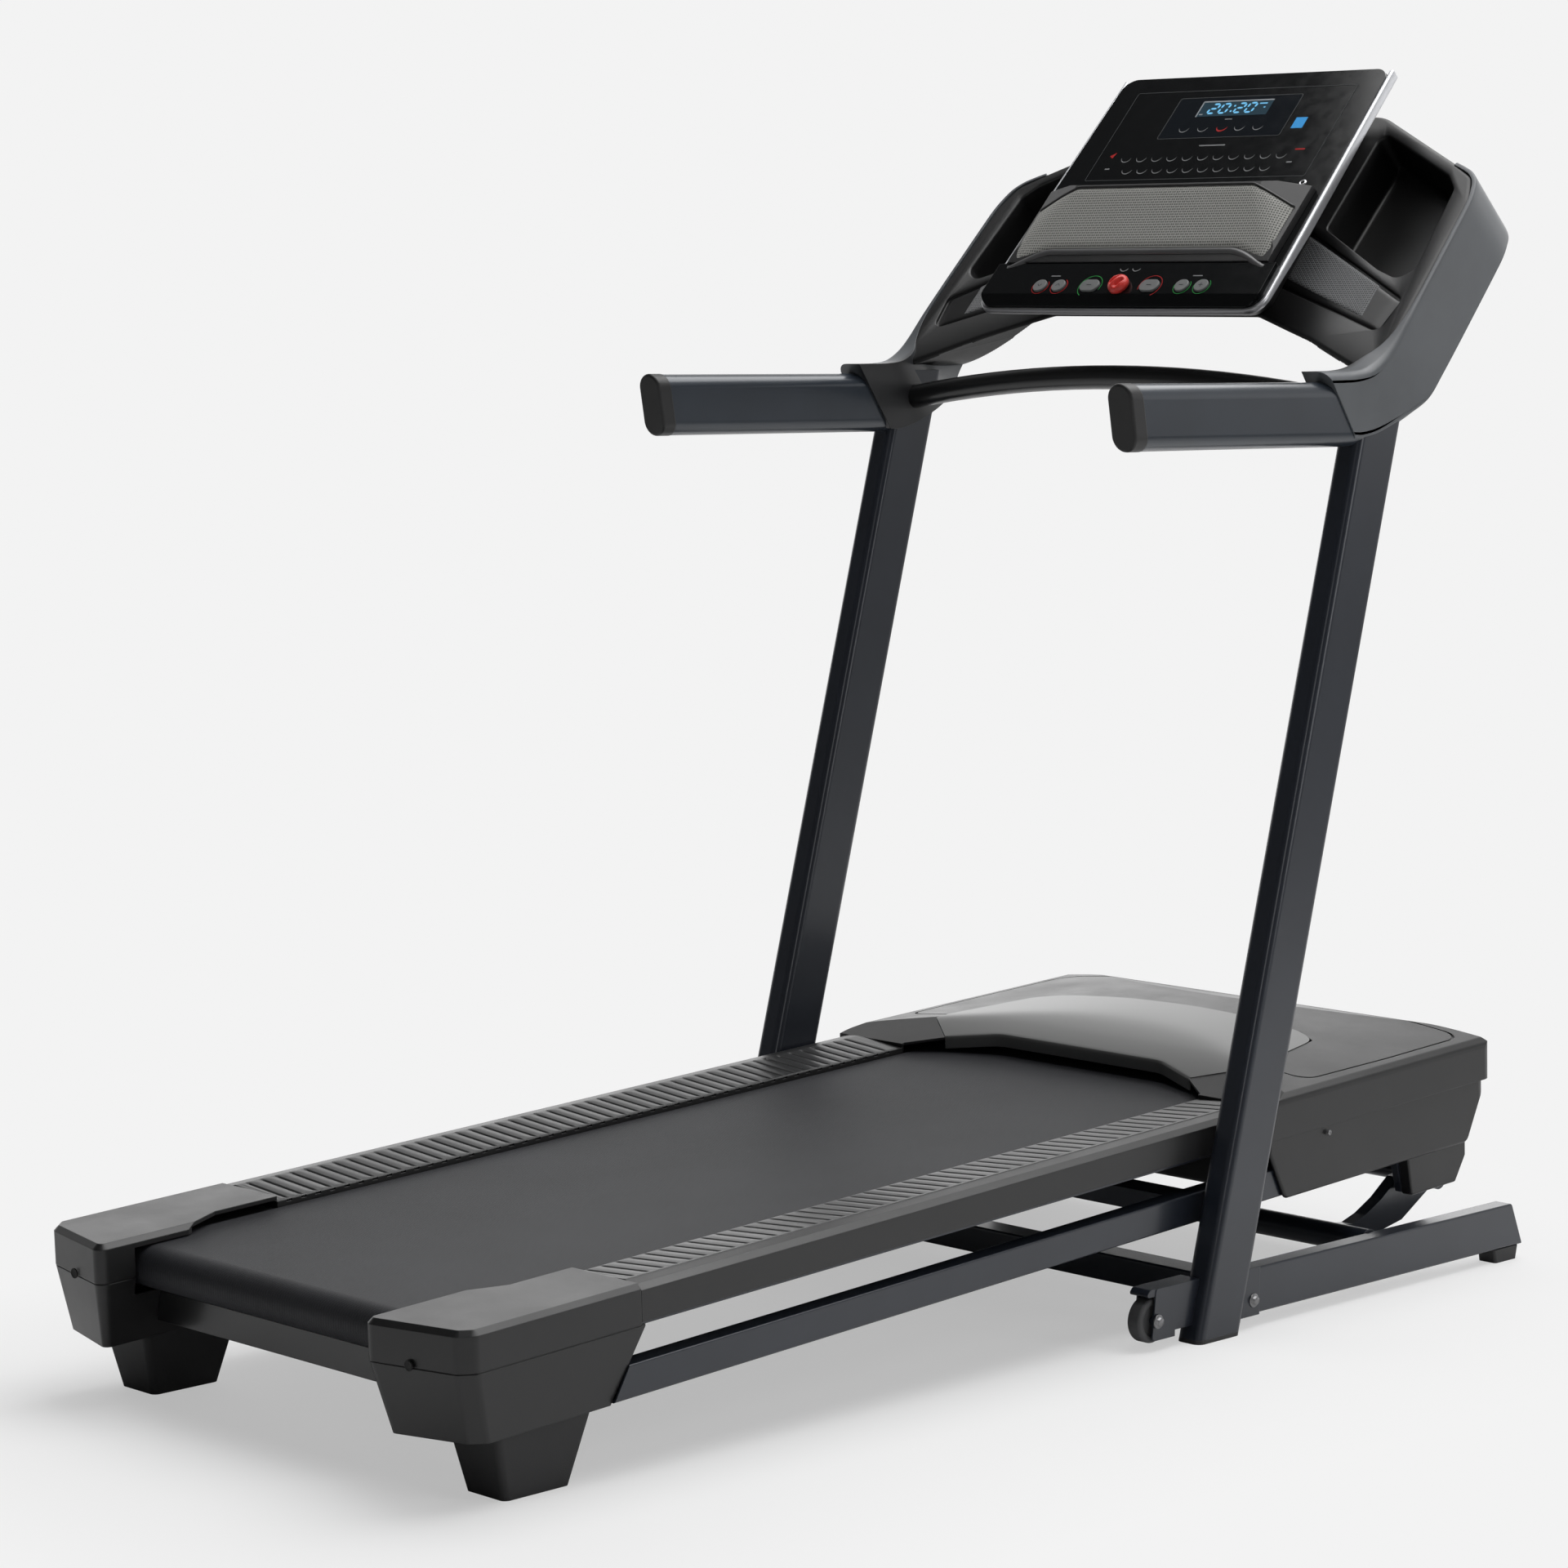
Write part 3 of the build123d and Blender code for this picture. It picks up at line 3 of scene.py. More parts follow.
import bmesh
import bpy
import numpy as np
from mathutils import Matrix


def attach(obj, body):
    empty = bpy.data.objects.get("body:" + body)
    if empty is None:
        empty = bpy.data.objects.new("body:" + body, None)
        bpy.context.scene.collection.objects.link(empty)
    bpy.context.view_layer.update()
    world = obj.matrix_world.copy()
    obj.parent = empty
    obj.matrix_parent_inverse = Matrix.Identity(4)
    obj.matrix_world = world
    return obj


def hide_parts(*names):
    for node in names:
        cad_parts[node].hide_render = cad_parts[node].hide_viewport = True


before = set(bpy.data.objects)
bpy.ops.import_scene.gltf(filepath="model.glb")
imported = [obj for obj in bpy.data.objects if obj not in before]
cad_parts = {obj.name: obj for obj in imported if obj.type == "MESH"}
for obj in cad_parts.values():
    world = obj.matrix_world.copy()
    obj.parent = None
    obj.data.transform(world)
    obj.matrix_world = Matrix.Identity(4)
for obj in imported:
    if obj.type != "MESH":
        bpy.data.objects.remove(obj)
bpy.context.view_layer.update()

# ------------------------------
# The studio.  A pale seamless floor, a wall of light behind and to the right of the machine that
# fades to dark towards its user, a wide soft box overhead, a tall strip on the right and a small
# box over the camera, with a long lens at the height of a standing person.
camera_place = np.array([3.5439, -3.6813, 1.2382])
camera_yaw = math.radians(44.5)
camera_pitch = math.radians(6.30)
camera_roll = math.radians(0.459)
camera_lens = 95.475
pale = (0.896, 0.896, 0.896)


class Socket:
    """A node's output.  Arithmetic on it adds Math nodes, so shader sums read as plain sums."""

    def __init__(self, nodes, output):
        self.nodes = nodes
        self.output = output

    def math(self, operation, *others):
        sockets = dict(enumerate((self, *others)))
        return self.nodes.put("ShaderNodeMath", {"operation": operation}, sockets)

    def __add__(self, other):
        return self.math("ADD", other)

    def __sub__(self, other):
        return self.math("SUBTRACT", other)

    def __mul__(self, other):
        return self.math("MULTIPLY", other)

    def __rsub__(self, other):
        return self.nodes.put("ShaderNodeMath", {"operation": "SUBTRACT"}, {0: other, 1: self})

    __radd__ = __add__
    __rmul__ = __mul__


class Nodes:
    """A node tree.  put() adds a node: its type, its settings, then values or links for its sockets."""

    def __init__(self, tree):
        self.tree = tree

    def put(self, kind, settings=None, sockets=None, out=0):
        node = self.tree.nodes.new(kind)
        for key, value in (settings or {}).items():
            setattr(node, key, value)
        for key, value in (sockets or {}).items():
            self.join(value, node.inputs[key])
        return Socket(self, node.outputs[out])

    def join(self, value, target):
        """Link a socket, or give a number, a vector or an opaque colour."""
        if isinstance(value, Socket):
            self.tree.links.new(value.output, target)
        else:
            target.default_value = (*value, 1.0) if target.type == "RGBA" else value

    def vector(self, operation, *values, out=0):
        """Vector Math on one or two vectors."""
        return self.put("ShaderNodeVectorMath", {"operation": operation}, dict(enumerate(values)), out)

    def span(self, value, low, high, to_low=0.0, to_high=1.0, course="LINEAR"):
        """value carried from low..high to to_low..to_high, held at the ends."""
        sockets = {"Value": value, "From Min": low, "From Max": high, "To Min": to_low, "To Max": to_high}
        return self.put("ShaderNodeMapRange", {"interpolation_type": course}, sockets)


class Finish(Nodes):
    """One node material, read at the surface's own coordinates."""

    def __init__(self, name):
        self.material = bpy.data.materials.new(name)
        self.material.use_nodes = True
        super().__init__(self.material.node_tree)
        self.shader = self.tree.nodes["Principled BSDF"]
        self.place = self.put("ShaderNodeTexCoord", out="Object")

    def set(self, sockets):
        """Values or links for the shader's own sockets."""
        for key, value in sockets.items():
            self.join(value, self.shader.inputs[key])

    def axis(self, name):
        """One coordinate of the surface."""
        return self.put("ShaderNodeSeparateXYZ", None, {0: self.place}, name)

    def noise(self, scale, detail=2.0, roughness=0.5):
        sockets = {"Vector": self.place, "Scale": scale, "Detail": detail, "Roughness": roughness}
        return self.put("ShaderNodeTexNoise", None, sockets)

    def blend(self, factor, first, second):
        """A colour between two, by a factor from 0 to 1."""
        sockets = {"Factor": factor, 6: first, 7: second}
        return self.put("ShaderNodeMix", {"data_type": "RGBA"}, sockets, 2)

    def relief(self, height, distance, strength=1.0, edge=0.0):
        """A bump of a height field; edge also rounds sharp corners by that radius."""
        sockets = {"Height": height, "Distance": distance, "Strength": strength}
        if edge:
            sockets["Normal"] = self.put("ShaderNodeBevel", {"samples": 6}, {"Radius": edge})
        return self.put("ShaderNodeBump", None, sockets)


def new_piece(name, shape, finish, body=None):
    """A mesh object at the origin from a shape's points and lists of corners, riding on a body."""
    points, faces = shape
    mesh = bpy.data.meshes.new(name)
    faces = faces.tolist() if isinstance(faces, np.ndarray) else faces
    mesh.from_pydata(np.asarray(points, float).reshape(-1, 3).tolist(), [], faces)
    mesh.polygons.foreach_set("use_smooth", [True] * len(mesh.polygons))
    mesh.materials.append(finish.material)
    mesh.update()
    piece = bpy.data.objects.new(name, mesh)
    bpy.context.scene.collection.objects.link(piece)
    if body:
        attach(piece, body)
    return piece


forward = np.array(
    [
        -math.sin(camera_yaw) * math.cos(camera_pitch),
        math.cos(camera_yaw) * math.cos(camera_pitch),
        -math.sin(camera_pitch),
    ]
)
level_right = np.array([math.cos(camera_yaw), math.sin(camera_yaw), 0.0])
level_up = np.cross(level_right, forward)
right = level_right * math.cos(camera_roll) + level_up * math.sin(camera_roll)
up = level_up * math.cos(camera_roll) - level_right * math.sin(camera_roll)
camera_data = bpy.data.cameras.new("camera")
camera_data.lens = camera_lens
camera_data.sensor_width = 36.0
camera_data.clip_end = 100.0
camera = bpy.data.objects.new("camera", camera_data)
turn = np.eye(4)
turn[:3, 0], turn[:3, 1], turn[:3, 2], turn[:3, 3] = right, up, -forward, camera_place
camera.matrix_world = Matrix(turn.tolist())
bpy.context.scene.collection.objects.link(camera)
bpy.context.scene.camera = camera
bpy.context.scene.view_settings.view_transform = "Standard"

floor_finish = Finish("seamless floor")
footprint_half = (0.30, 0.85, 0.0)
beyond = floor_finish.vector("SUBTRACT", floor_finish.vector("ABSOLUTE", floor_finish.place), footprint_half)
reach = floor_finish.vector("LENGTH", floor_finish.vector("MAXIMUM", beyond, (0.0, 0.0, 0.0)), out="Value")
floor_finish.set({"Base Color": (0.90, 0.90, 0.90), "Roughness": 0.9, "Specular IOR Level": 0.1})
floor_glow = floor_finish.put("ShaderNodeEmission", None, {"Color": pale, "Strength": 1.0})
seen = floor_finish.put("ShaderNodeLightPath", out="Is Camera Ray")
fade = seen * floor_finish.span(reach, 0.0, 0.55, 0.50, 1.0)
lit_floor = Socket(floor_finish, floor_finish.shader.outputs[0])
floor_mix = floor_finish.put("ShaderNodeMixShader", None, {0: fade, 1: lit_floor, 2: floor_glow})
floor_finish.join(floor_mix, floor_finish.tree.nodes["Material Output"].inputs["Surface"])
floor_half = 30.0
floor_corners = np.array([(-1, -1, 0), (1, -1, 0), (1, 1, 0), (-1, 1, 0)])
new_piece("studio_floor", (floor_half * floor_corners, [(0, 1, 2, 3)]), floor_finish)

world = bpy.data.worlds.new("sky")
world.use_nodes = True
bpy.context.scene.world = world
sky = Nodes(world.node_tree)
sky_place = sky.put("ShaderNodeTexCoord", out="Generated")
bright_side = sky.vector("DOT_PRODUCT", sky_place, (-0.42, 0.907, 0.0), out="Value")
sideways = sky.span(bright_side, 0.0, 0.95, 0.10, 1.7, "SMOOTHSTEP")
sky_height = sky.put("ShaderNodeSeparateXYZ", None, {0: sky_place}, "Z")
sky_strength = sideways * sky.span(sky_height, 0.20, 0.60, 1.0, 0.22)
sky_light = sky.put("ShaderNodeBackground", None, {"Color": (1.0, 1.0, 1.0), "Strength": sky_strength})
sky_seen = sky.put("ShaderNodeBackground", None, {"Color": pale, "Strength": 1.0})
sky_path = sky.put("ShaderNodeLightPath", out="Is Camera Ray")
sky_choice = sky.put("ShaderNodeMixShader", None, {0: sky_path, 1: sky_light, 2: sky_seen})
sky.join(sky_choice, sky.tree.nodes["World Output"].inputs["Surface"])


def soft_box(name, place, target, width, height, power):
    """A rectangular lamp at a place, facing a target."""
    lamp = bpy.data.lights.new(name, "AREA")
    lamp.shape = "RECTANGLE"
    lamp.size = width
    lamp.size_y = height
    lamp.energy = power
    box = bpy.data.objects.new(name, lamp)
    box.location = place
    aim = Matrix.Translation(target).translation - box.location
    box.rotation_euler = aim.to_track_quat("-Z", "Y").to_euler()
    bpy.context.scene.collection.objects.link(box)


soft_box("overhead", (0.4, 1.2, 4.2), (0.0, 0.2, 0.4), 4.2, 4.2, 195.0)
soft_box("right_strip", (4.6, 1.4, 2.0), (0.2, 0.2, 0.7), 1.2, 3.0, 30.0)
soft_box("camera_box", (3.9, -4.0, 2.1), (0.0, 0.0, 0.7), 0.8, 1.6, 11.0)

# ------------------------------
# Painted steel frame: uprights, floor tubes, cross tubes, lift frame, deck frame and the round
# bar between the uprights.  Welded tube, powder-coated in a satin blue-black with a faint
# orange-peel.  The handlebars' paint is a shade lighter, and the round bar's is black.
def dress(finish, *names):
    """Give CAD pieces a finish through their own material slots."""
    for name in names:
        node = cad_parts[name]
        if not node.material_slots:
            node.data.materials.append(finish.material)
        for slot in node.material_slots:
            slot.material = finish.material


def pair(*stems):
    """The right and left names of mirrored pieces."""
    return [stem + side for stem in stems for side in ("_r", "_l")]


def shaded(colour, share):
    """A colour with each part times a share."""
    return [share * part for part in colour]


def paint(name, colour, roughness):
    """Powder coat: colour drifts over a hand's width, and orange-peel about 1.5 mm across lifts it."""
    finish = Finish(name)
    drift = finish.span(finish.noise(7.0, 3.0), 0.3, 0.7)
    dust = finish.span(finish.noise(900.0, 2.0), 0.35, 0.75)
    peel = finish.noise(620.0, 1.5)
    finish.set({
        "Base Color": finish.blend(drift, shaded(colour, 0.86), shaded(colour, 1.12)),
        "Roughness": finish.span(dust, 0.0, 1.0, roughness - 0.03, roughness + 0.05),
        "Metallic": 0.25,
        "Coat Weight": 0.5,
        "Coat Roughness": 0.16,
        "Normal": finish.relief(peel, 0.00006, 0.5, edge=0.0012),
    })
    return finish


frame_paint = paint("blue-black powder coat", (0.0155, 0.0195, 0.0290), 0.34)
handle_paint = paint("blue-grey powder coat", (0.0210, 0.0280, 0.0390), 0.32)
dress(frame_paint, "pivot_sleeve", "base_cross", "lift_frame", "deck_cross")
dress(frame_paint, *pair("upright", "base_tube", "side_frame", "lower_tube", "wheel_bracket"))
dress(handle_paint, *pair("handlebar"))
dress(paint("black tube paint", (0.007, 0.0072, 0.008), 0.34), "crossbar", "rear_cross")

# ------------------------------
# Moulded plastics: black shoes, handle caps and tablet ledge, warm grey foot rails and end caps,
# the hood and the pivot guards.  Injection-moulded with a fine spark-eroded grain.
def moulding(name, colour, roughness, grain=1500.0, lift=0.00010, edge=0.0015):
    """Grained plastic: pits a fraction of a millimetre wide, faint flow marks and rounded corners."""
    finish = Finish(name)
    pits = finish.put(
        "ShaderNodeTexVoronoi", {"feature": "SMOOTH_F1"},
        {"Vector": finish.place, "Scale": grain, "Smoothness": 0.6},
    )
    flow = finish.span(finish.noise(11.0, 4.0, 0.6), 0.3, 0.7)
    finish.set({
        "Base Color": finish.blend(flow, shaded(colour, 0.88), shaded(colour, 1.10)),
        "Roughness": finish.span(flow, 0.0, 1.0, roughness - 0.04, roughness + 0.04),
        "Normal": finish.relief(pits, lift, 0.6, edge=edge),
    })
    return finish


black_moulding = moulding("black moulded plastic", (0.014, 0.014, 0.0145), 0.44)
grey_moulding = moulding("warm grey moulded plastic", (0.0150, 0.0150, 0.0155), 0.35)
hood_moulding = moulding("grey hood plastic", (0.0085, 0.0085, 0.009), 0.34)
dress(black_moulding, *pair("upright_shoe", "handle_cap"))
housing_moulding = moulding("housing plastic with painted shade", (0.0075, 0.0075, 0.008), 0.40)
dress(housing_moulding, "device_holder")
dress(grey_moulding, *pair("foot_rail", "end_cap"))
dress(hood_moulding, "hood_top", "hood_lower", *pair("pivot_guard"))

# ------------------------------
# Rubber: the soles of the feet and the transport wheels.  Matt moulded rubber, the wheels grey
# so that they leave no marks.
dress(moulding("black rubber", (0.022, 0.022, 0.023), 0.62, 900.0, 0.00014), *pair("front_pad", "rear_foot"))
dress(moulding("grey wheel rubber", (0.055, 0.056, 0.058), 0.6, 900.0, 0.00014), *pair("transport_wheel"))

# ------------------------------
# The running belt: PVC on woven polyester, with a pattern of small diamonds pressed into its
# upper face for grip.
belt_finish = Finish("running belt")
belt_cell = 0.0042
across = belt_finish.axis("X") * (math.pi / belt_cell)
along = belt_finish.axis("Y") * (math.pi / belt_cell * 0.6)
lines = [slant.math("SINE").math("ABSOLUTE") for slant in (across + along, across - along)]
diamonds = lines[0].math("MINIMUM", lines[1])
scuff = belt_finish.span(belt_finish.noise(5.0, 5.0, 0.65), 0.35, 0.7)
fine = belt_finish.noise(1400.0, 2.0)
# Painted shade: the pressed grooves are coloured darker than the diamonds' faces; the scuffed tone over both
# is random wear.
belt_groove_shade_and_scuff = belt_finish.blend(
    belt_finish.span(diamonds, 0.0, 0.5) * 0.5 + scuff * 0.3, (0.0055, 0.0059, 0.0072), (0.031, 0.032, 0.038)
)
belt_finish.set({
    "Base Color": belt_groove_shade_and_scuff,
    "Roughness": belt_finish.span(fine, 0.3, 0.7, 0.52, 0.66),
    "Specular IOR Level": 0.35,
    "Normal": belt_finish.relief(belt_finish.span(diamonds, 0.0, 0.45) + fine * 0.2, 0.00025, 0.7),
})
dress(belt_finish, "walking_belt")
dress(moulding("black faced deck board", (0.012, 0.012, 0.013), 0.5, 500.0), "deck_board")

# ------------------------------
# Bright metal: the rollers and the flywheel, turned on a lathe, and the motor's black lacquered
# can.
steel = Finish("turned steel")
rings = steel.put(
    "ShaderNodeTexWave", {"wave_type": "BANDS", "bands_direction": "X"},
    {"Vector": steel.place, "Scale": 900.0, "Distortion": 1.0, "Detail": 1.0},
)
steel.set({
    "Base Color": steel.blend(steel.noise(40.0), (0.42, 0.42, 0.43), (0.55, 0.55, 0.56)),
    "Metallic": 1.0,
    "Roughness": steel.span(rings, 0.0, 1.0, 0.25, 0.38),
    "Normal": steel.relief(rings, 0.00002, 0.4, edge=0.0006),
})
dress(steel, "front_roller", "rear_roller", "flywheel")
dress(paint("motor lacquer", (0.02, 0.02, 0.022), 0.3), "drive_motor")

# ------------------------------
# Silver trim: the band round the display unit, plastic sprayed with metallic lacquer under a
# clear coat.  Its lowest run, which faces down, is painted dark grey as shade.
silver = Finish("silver lacquer")
flakes = silver.put("ShaderNodeTexVoronoi", None, {"Vector": silver.place, "Scale": 4000.0}, out="Color")
flake_value = silver.put("ShaderNodeSeparateColor", None, {0: flakes})
# Painted shade: the band's colour falls from silver to dark grey below 1.276 m, fully by 1.258 m; flake
# specks vary it a little.
underside_shade_and_flake = silver.span(silver.axis("Z"), 1.258, 1.276) * 0.85 + flake_value * 0.15
silver.set({
    "Base Color": silver.blend(underside_shade_and_flake, (0.13, 0.13, 0.135), (0.74, 0.75, 0.78)),
    "Metallic": 0.75,
    "Roughness": silver.span(flake_value, 0.0, 1.0, 0.28, 0.40),
    "Coat Weight": 0.3,
    "Coat Roughness": 0.12,
    "Normal": silver.relief(silver.noise(300.0), 0.00003, 0.3, edge=0.002),
})

# ------------------------------
# The console face: one gloss black acrylic sheet over a printed film, a smoked display window
# and a gloss key panel below.
def gloss(name, colour, roughness):
    """Acrylic or glass-smooth plastic, with the very slight waviness of a moulded sheet."""
    finish = Finish(name)
    wave = finish.noise(9.0, 2.0)
    finish.set({
        "Base Color": finish.blend(wave, shaded(colour, 0.85), colour),
        "Roughness": finish.span(finish.noise(60.0, 3.0), 0.3, 0.7, roughness, roughness + 0.05),
        "Specular IOR Level": 0.22,
        "Coat Weight": 0.06,
        "Coat Roughness": 0.05,
        "Normal": finish.relief(wave, 0.0001, 0.15, edge=0.0008),
    })
    return finish


face_gloss = gloss("black acrylic", (0.004, 0.0045, 0.005), 0.10)
dress(face_gloss, "console_panel", "key_panel")
dress(gloss("smoked window", (0.006, 0.008, 0.011), 0.06), "display_glass")
key_finish = moulding("satin key rubber", (0.13, 0.135, 0.135), 0.45, 2500.0, 0.00004, 0.0006)
dress(key_finish, "key_incline_down", "key_incline_up", "key_speed_down", "key_speed_up")
dress(key_finish, "key_start", "key_stop")

# ------------------------------
# Printing on the console face: thin grey frames, rows of smile-shaped marks under the programme
# names, small red arrows, and a headphone socket.  Screen-printed ink a hair above the acrylic.
console_slope = math.radians(47.3)
console_foot = np.array([0.0, 0.553, 1.286])
console_across = np.array([1.0, 0.0, 0.0])
console_up = np.array([0.0, math.cos(console_slope), math.sin(console_slope)])
console_out = np.array([0.0, -math.sin(console_slope), math.cos(console_slope)])
ink_lift = 0.00025


def on_console(x, s, n):
    """World points: x across, s up the console's slope and n out of its face, all in metres."""
    x, s, n = (np.asarray(value, float)[..., None] for value in np.broadcast_arrays(x, s, n))
    return console_foot + x * console_across + s * console_up + n * console_out


def quads(rows, columns, around=False):
    """Corner numbers of the squares of a grid; around joins the last column to the first."""
    steps = columns if around else columns - 1
    row, column = np.meshgrid(np.arange(rows - 1), np.arange(steps), indexing="ij")
    after = (column + 1) % columns
    low, high = row * columns, (row + 1) * columns
    return np.stack([low + column, low + after, high + after, high + column], axis=-1).reshape(-1, 4)


def end_rings(rows, count):
    """Corner numbers of a tube's first and last rows."""
    return [list(range(count)), list(range((rows - 1) * count, rows * count))]


def capped(rows, count):
    """The squares of a closed tube and a face over each end, all looking the same way."""
    first, last = end_rings(rows, count)
    return quads(rows, count, True).tolist() + [first[::-1], last]


def along_normal(step):
    """Unit vectors a quarter turn to the left of each step."""
    return np.stack([-step[:, 1], step[:, 0]], axis=1) / np.linalg.norm(step, axis=1, keepdims=True)


def ribbon(path, width, n=ink_lift, closed=False):
    """A flat band on the console: each point of an (x, s) path moved half a width along its normal."""
    path = np.asarray(path, float)
    step = np.roll(path, -1, 0) - np.roll(path, 1, 0) if closed else np.gradient(path, axis=0)
    normal = along_normal(step)
    half = np.broadcast_to(np.asarray(width, float) / 2, len(path))[:, None]
    rails = np.stack([path - normal * half, path + normal * half])
    points = on_console(rails[..., 0], rails[..., 1], n)
    return points.reshape(-1, 3), quads(2, len(path), closed)


def arc_path(x, s, radius, start, end, steps=20):
    """Points round a circle between two angles in degrees."""
    angle = np.radians(np.linspace(start, end, steps))
    return np.stack([x + radius * np.cos(angle), s + radius * np.sin(angle)], axis=1)


def frame_path(half_x, low, high, corner, x=0.0):
    """A rounded rectangle as one closed path: four quarter circles joined by their straights."""
    centres = [(x + half_x - corner, low + corner, -90), (x + half_x - corner, high - corner, 0)]
    centres += [(x - half_x + corner, high - corner, 90), (x - half_x + corner, low + corner, 180)]
    return np.concatenate([arc_path(cx, cs, corner, start, start + 90, 6) for cx, cs, start in centres])


def gather(shapes):
    """Several (points, faces) shapes as one, with the corner numbers moved up by what came before."""
    counts = np.cumsum([0] + [len(points) for points, faces in shapes])
    points = np.concatenate([points for points, faces in shapes])
    faces = [face for (_, faces), base in zip(shapes, counts) for face in (np.asarray(faces) + base).tolist()]
    return points, faces


def smile(x, s, radius=0.0085, width=0.0013):
    """The lower arc of a circle, running out to points: its width is times the sine of its share."""
    share = np.linspace(0.0, 1.0, 20)
    return ribbon(arc_path(x, s, radius, 186, 354), width * np.sin(math.pi * share) + 0.0002)


def ink(name, colour, glow=0.0):
    """Printed ink: its depth of colour varies in specks a third of a millimetre across."""
    finish = Finish(name)
    specks = finish.span(finish.noise(3200.0, 1.0), 0.3, 0.7)
    tone = finish.blend(specks, shaded(colour, 0.8), colour)
    finish.set({"Base Color": tone, "Roughness": 0.5, "Specular IOR Level": 0.08, "Emission Strength": glow})
    if glow:
        finish.set({"Emission Color": tone})
    return finish


grey_ink = ink("grey ink", (0.22, 0.225, 0.23))
faint_ink = ink("faint grey ink", (0.055, 0.058, 0.06))
red_ink = ink("red ink", (0.40, 0.02, 0.02))
green_ink = ink("green ink", (0.03, 0.28, 0.06))
screen_frame = ribbon(frame_path(0.1875, 0.205, 0.372, 0.003), 0.0011, closed=True)
window_frame = ribbon(frame_path(0.1045, 0.2815, 0.3585, 0.003), 0.0010, closed=True)
new_piece("console_line_frames", gather([screen_frame, window_frame]), faint_ink, "base")
upper_row = [smile(-0.137 + 0.0265 * i, 0.2475) for i in range(11)]
lower_row = [smile(-0.123 + 0.0262 * i, 0.2250) for i in range(10)]
window_row = [smile(x, 0.302) for x in (-0.067, -0.035, 0.028, 0.059)]
captions = [
    ribbon([(-0.022, 0.2665), (0.022, 0.2665)], 0.0022),
    ribbon([(-0.0055, 0.3155), (0.0065, 0.3155)], 0.0016),
    ribbon([(0.144, 0.231), (0.153, 0.231)], 0.0024),
    ribbon([(-0.164, 0.2265), (-0.156, 0.2265)], 0.0024),
]
grey_marks = gather(upper_row + lower_row + window_row + captions)
new_piece("console_programme_marks", grey_marks, grey_ink, "base")
red_marks = [
    smile(-0.002, 0.302, 0.0088, 0.0024),
    ribbon([(-0.166, 0.249), (-0.160, 0.257)], [0.0075, 0.0008]),
    ribbon([(0.146, 0.2545), (0.162, 0.2545)], 0.0026),
]
new_piece("console_red_marks", gather(red_marks), red_ink, "base")


def turned_ring(x, s, profile, steps=48):
    """A profile of (radius, n) pairs turned about an axis out of the console at (x, s)."""
    radius, n = np.asarray(profile, float).T
    angle = np.linspace(0.0, 2.0 * math.pi, steps, endpoint=False)
    ring_x = x + radius[:, None] * np.cos(angle)
    ring_s = s + radius[:, None] * np.sin(angle)
    return on_console(ring_x, ring_s, n[:, None]).reshape(-1, 3), quads(len(radius), steps, True)


socket_profile = [
    (0.0026, 0.0002), (0.0028, 0.0011), (0.0036, 0.0016),
    (0.0048, 0.0013), (0.0054, 0.0006), (0.0056, 0.0001),
]
new_piece("headphone_socket_ring", turned_ring(0.192, 0.192, socket_profile), steel, "base")

# ------------------------------
# The display: a liquid crystal panel behind the smoked window, with seven-segment numerals lit
# pale blue from behind and a grey bracket round its upper left corner.
lcd_back = ink("liquid crystal panel", (0.010, 0.030, 0.045), 0.3)
lcd_bright = ink("lit segments", (0.14, 0.42, 0.66), 0.55)
lcd_grey = ink("panel bracket", (0.28, 0.30, 0.32), 0.1)
lcd_shape = ribbon([(-0.060, 0.336), (0.060, 0.336)], 0.028, 0.0002)
new_piece("lcd_panel", lcd_shape, lcd_back, "base")
digit_height, digit_width, digit_lean = 0.0205, 0.0155, 0.22
digit_foot, stroke, lit_n = 0.326, 0.0034, 0.0004
segment_ends = {
    "top": ((0, 2), (1, 2)), "upper_right": ((1, 2), (1, 1)), "lower_right": ((1, 1), (1, 0)),
    "bottom": ((0, 0), (1, 0)), "lower_left": ((0, 1), (0, 0)), "upper_left": ((0, 2), (0, 1)),
    "middle": ((0, 1), (1, 1)),
}
lit = {
    "2": ("top", "upper_right", "middle", "lower_left", "bottom"),
    "0": ("top", "upper_right", "lower_right", "bottom", "lower_left", "upper_left"),
}


def segment(left, ends):
    """One bar of a numeral, a little short of its corners, sheared to the right by the numeral's lean."""
    ends = np.array(ends, float) * [digit_width - stroke, (digit_height - stroke) / 2]
    share = np.array([0.12, 0.30, 0.70, 0.88])[:, None]
    path = ends[0] + (ends[1] - ends[0]) * share
    path = path + [left + stroke / 2, digit_foot + stroke / 2]
    path[:, 0] += (path[:, 1] - digit_foot) * digit_lean
    return ribbon(path, [stroke * 0.45, stroke, stroke, stroke * 0.45], lit_n)


bars = []
for numeral, left in zip("2020", (-0.046, -0.0275, -0.001, 0.0175)):
    bars += [segment(left, segment_ends[name]) for name in lit[numeral]]
for s_dot in (0.3305, 0.3405):
    x_dot = -0.0065 + (s_dot - digit_foot) * digit_lean
    bars.append(ribbon([(x_dot, s_dot), (x_dot + 0.003, s_dot)], 0.003, lit_n))
bars.append(ribbon([(0.039, 0.3435), (0.052, 0.3435)], 0.0022, lit_n))
bars.append(ribbon([(0.049, 0.336), (0.052, 0.336)], 0.0022, lit_n))
new_piece("lcd_numerals", gather(bars), lcd_bright, "base")
bracket_bars = [
    ribbon([(-0.0595, 0.3215), (-0.0595, 0.3505)], 0.0022, lit_n),
    ribbon([(-0.0605, 0.3500), (0.060, 0.3500)], 0.0022, lit_n),
    ribbon([(-0.0560, 0.3260), (-0.0500, 0.3260)], 0.0018, lit_n),
]
new_piece("lcd_bracket", gather(bracket_bars), lcd_grey, "base")
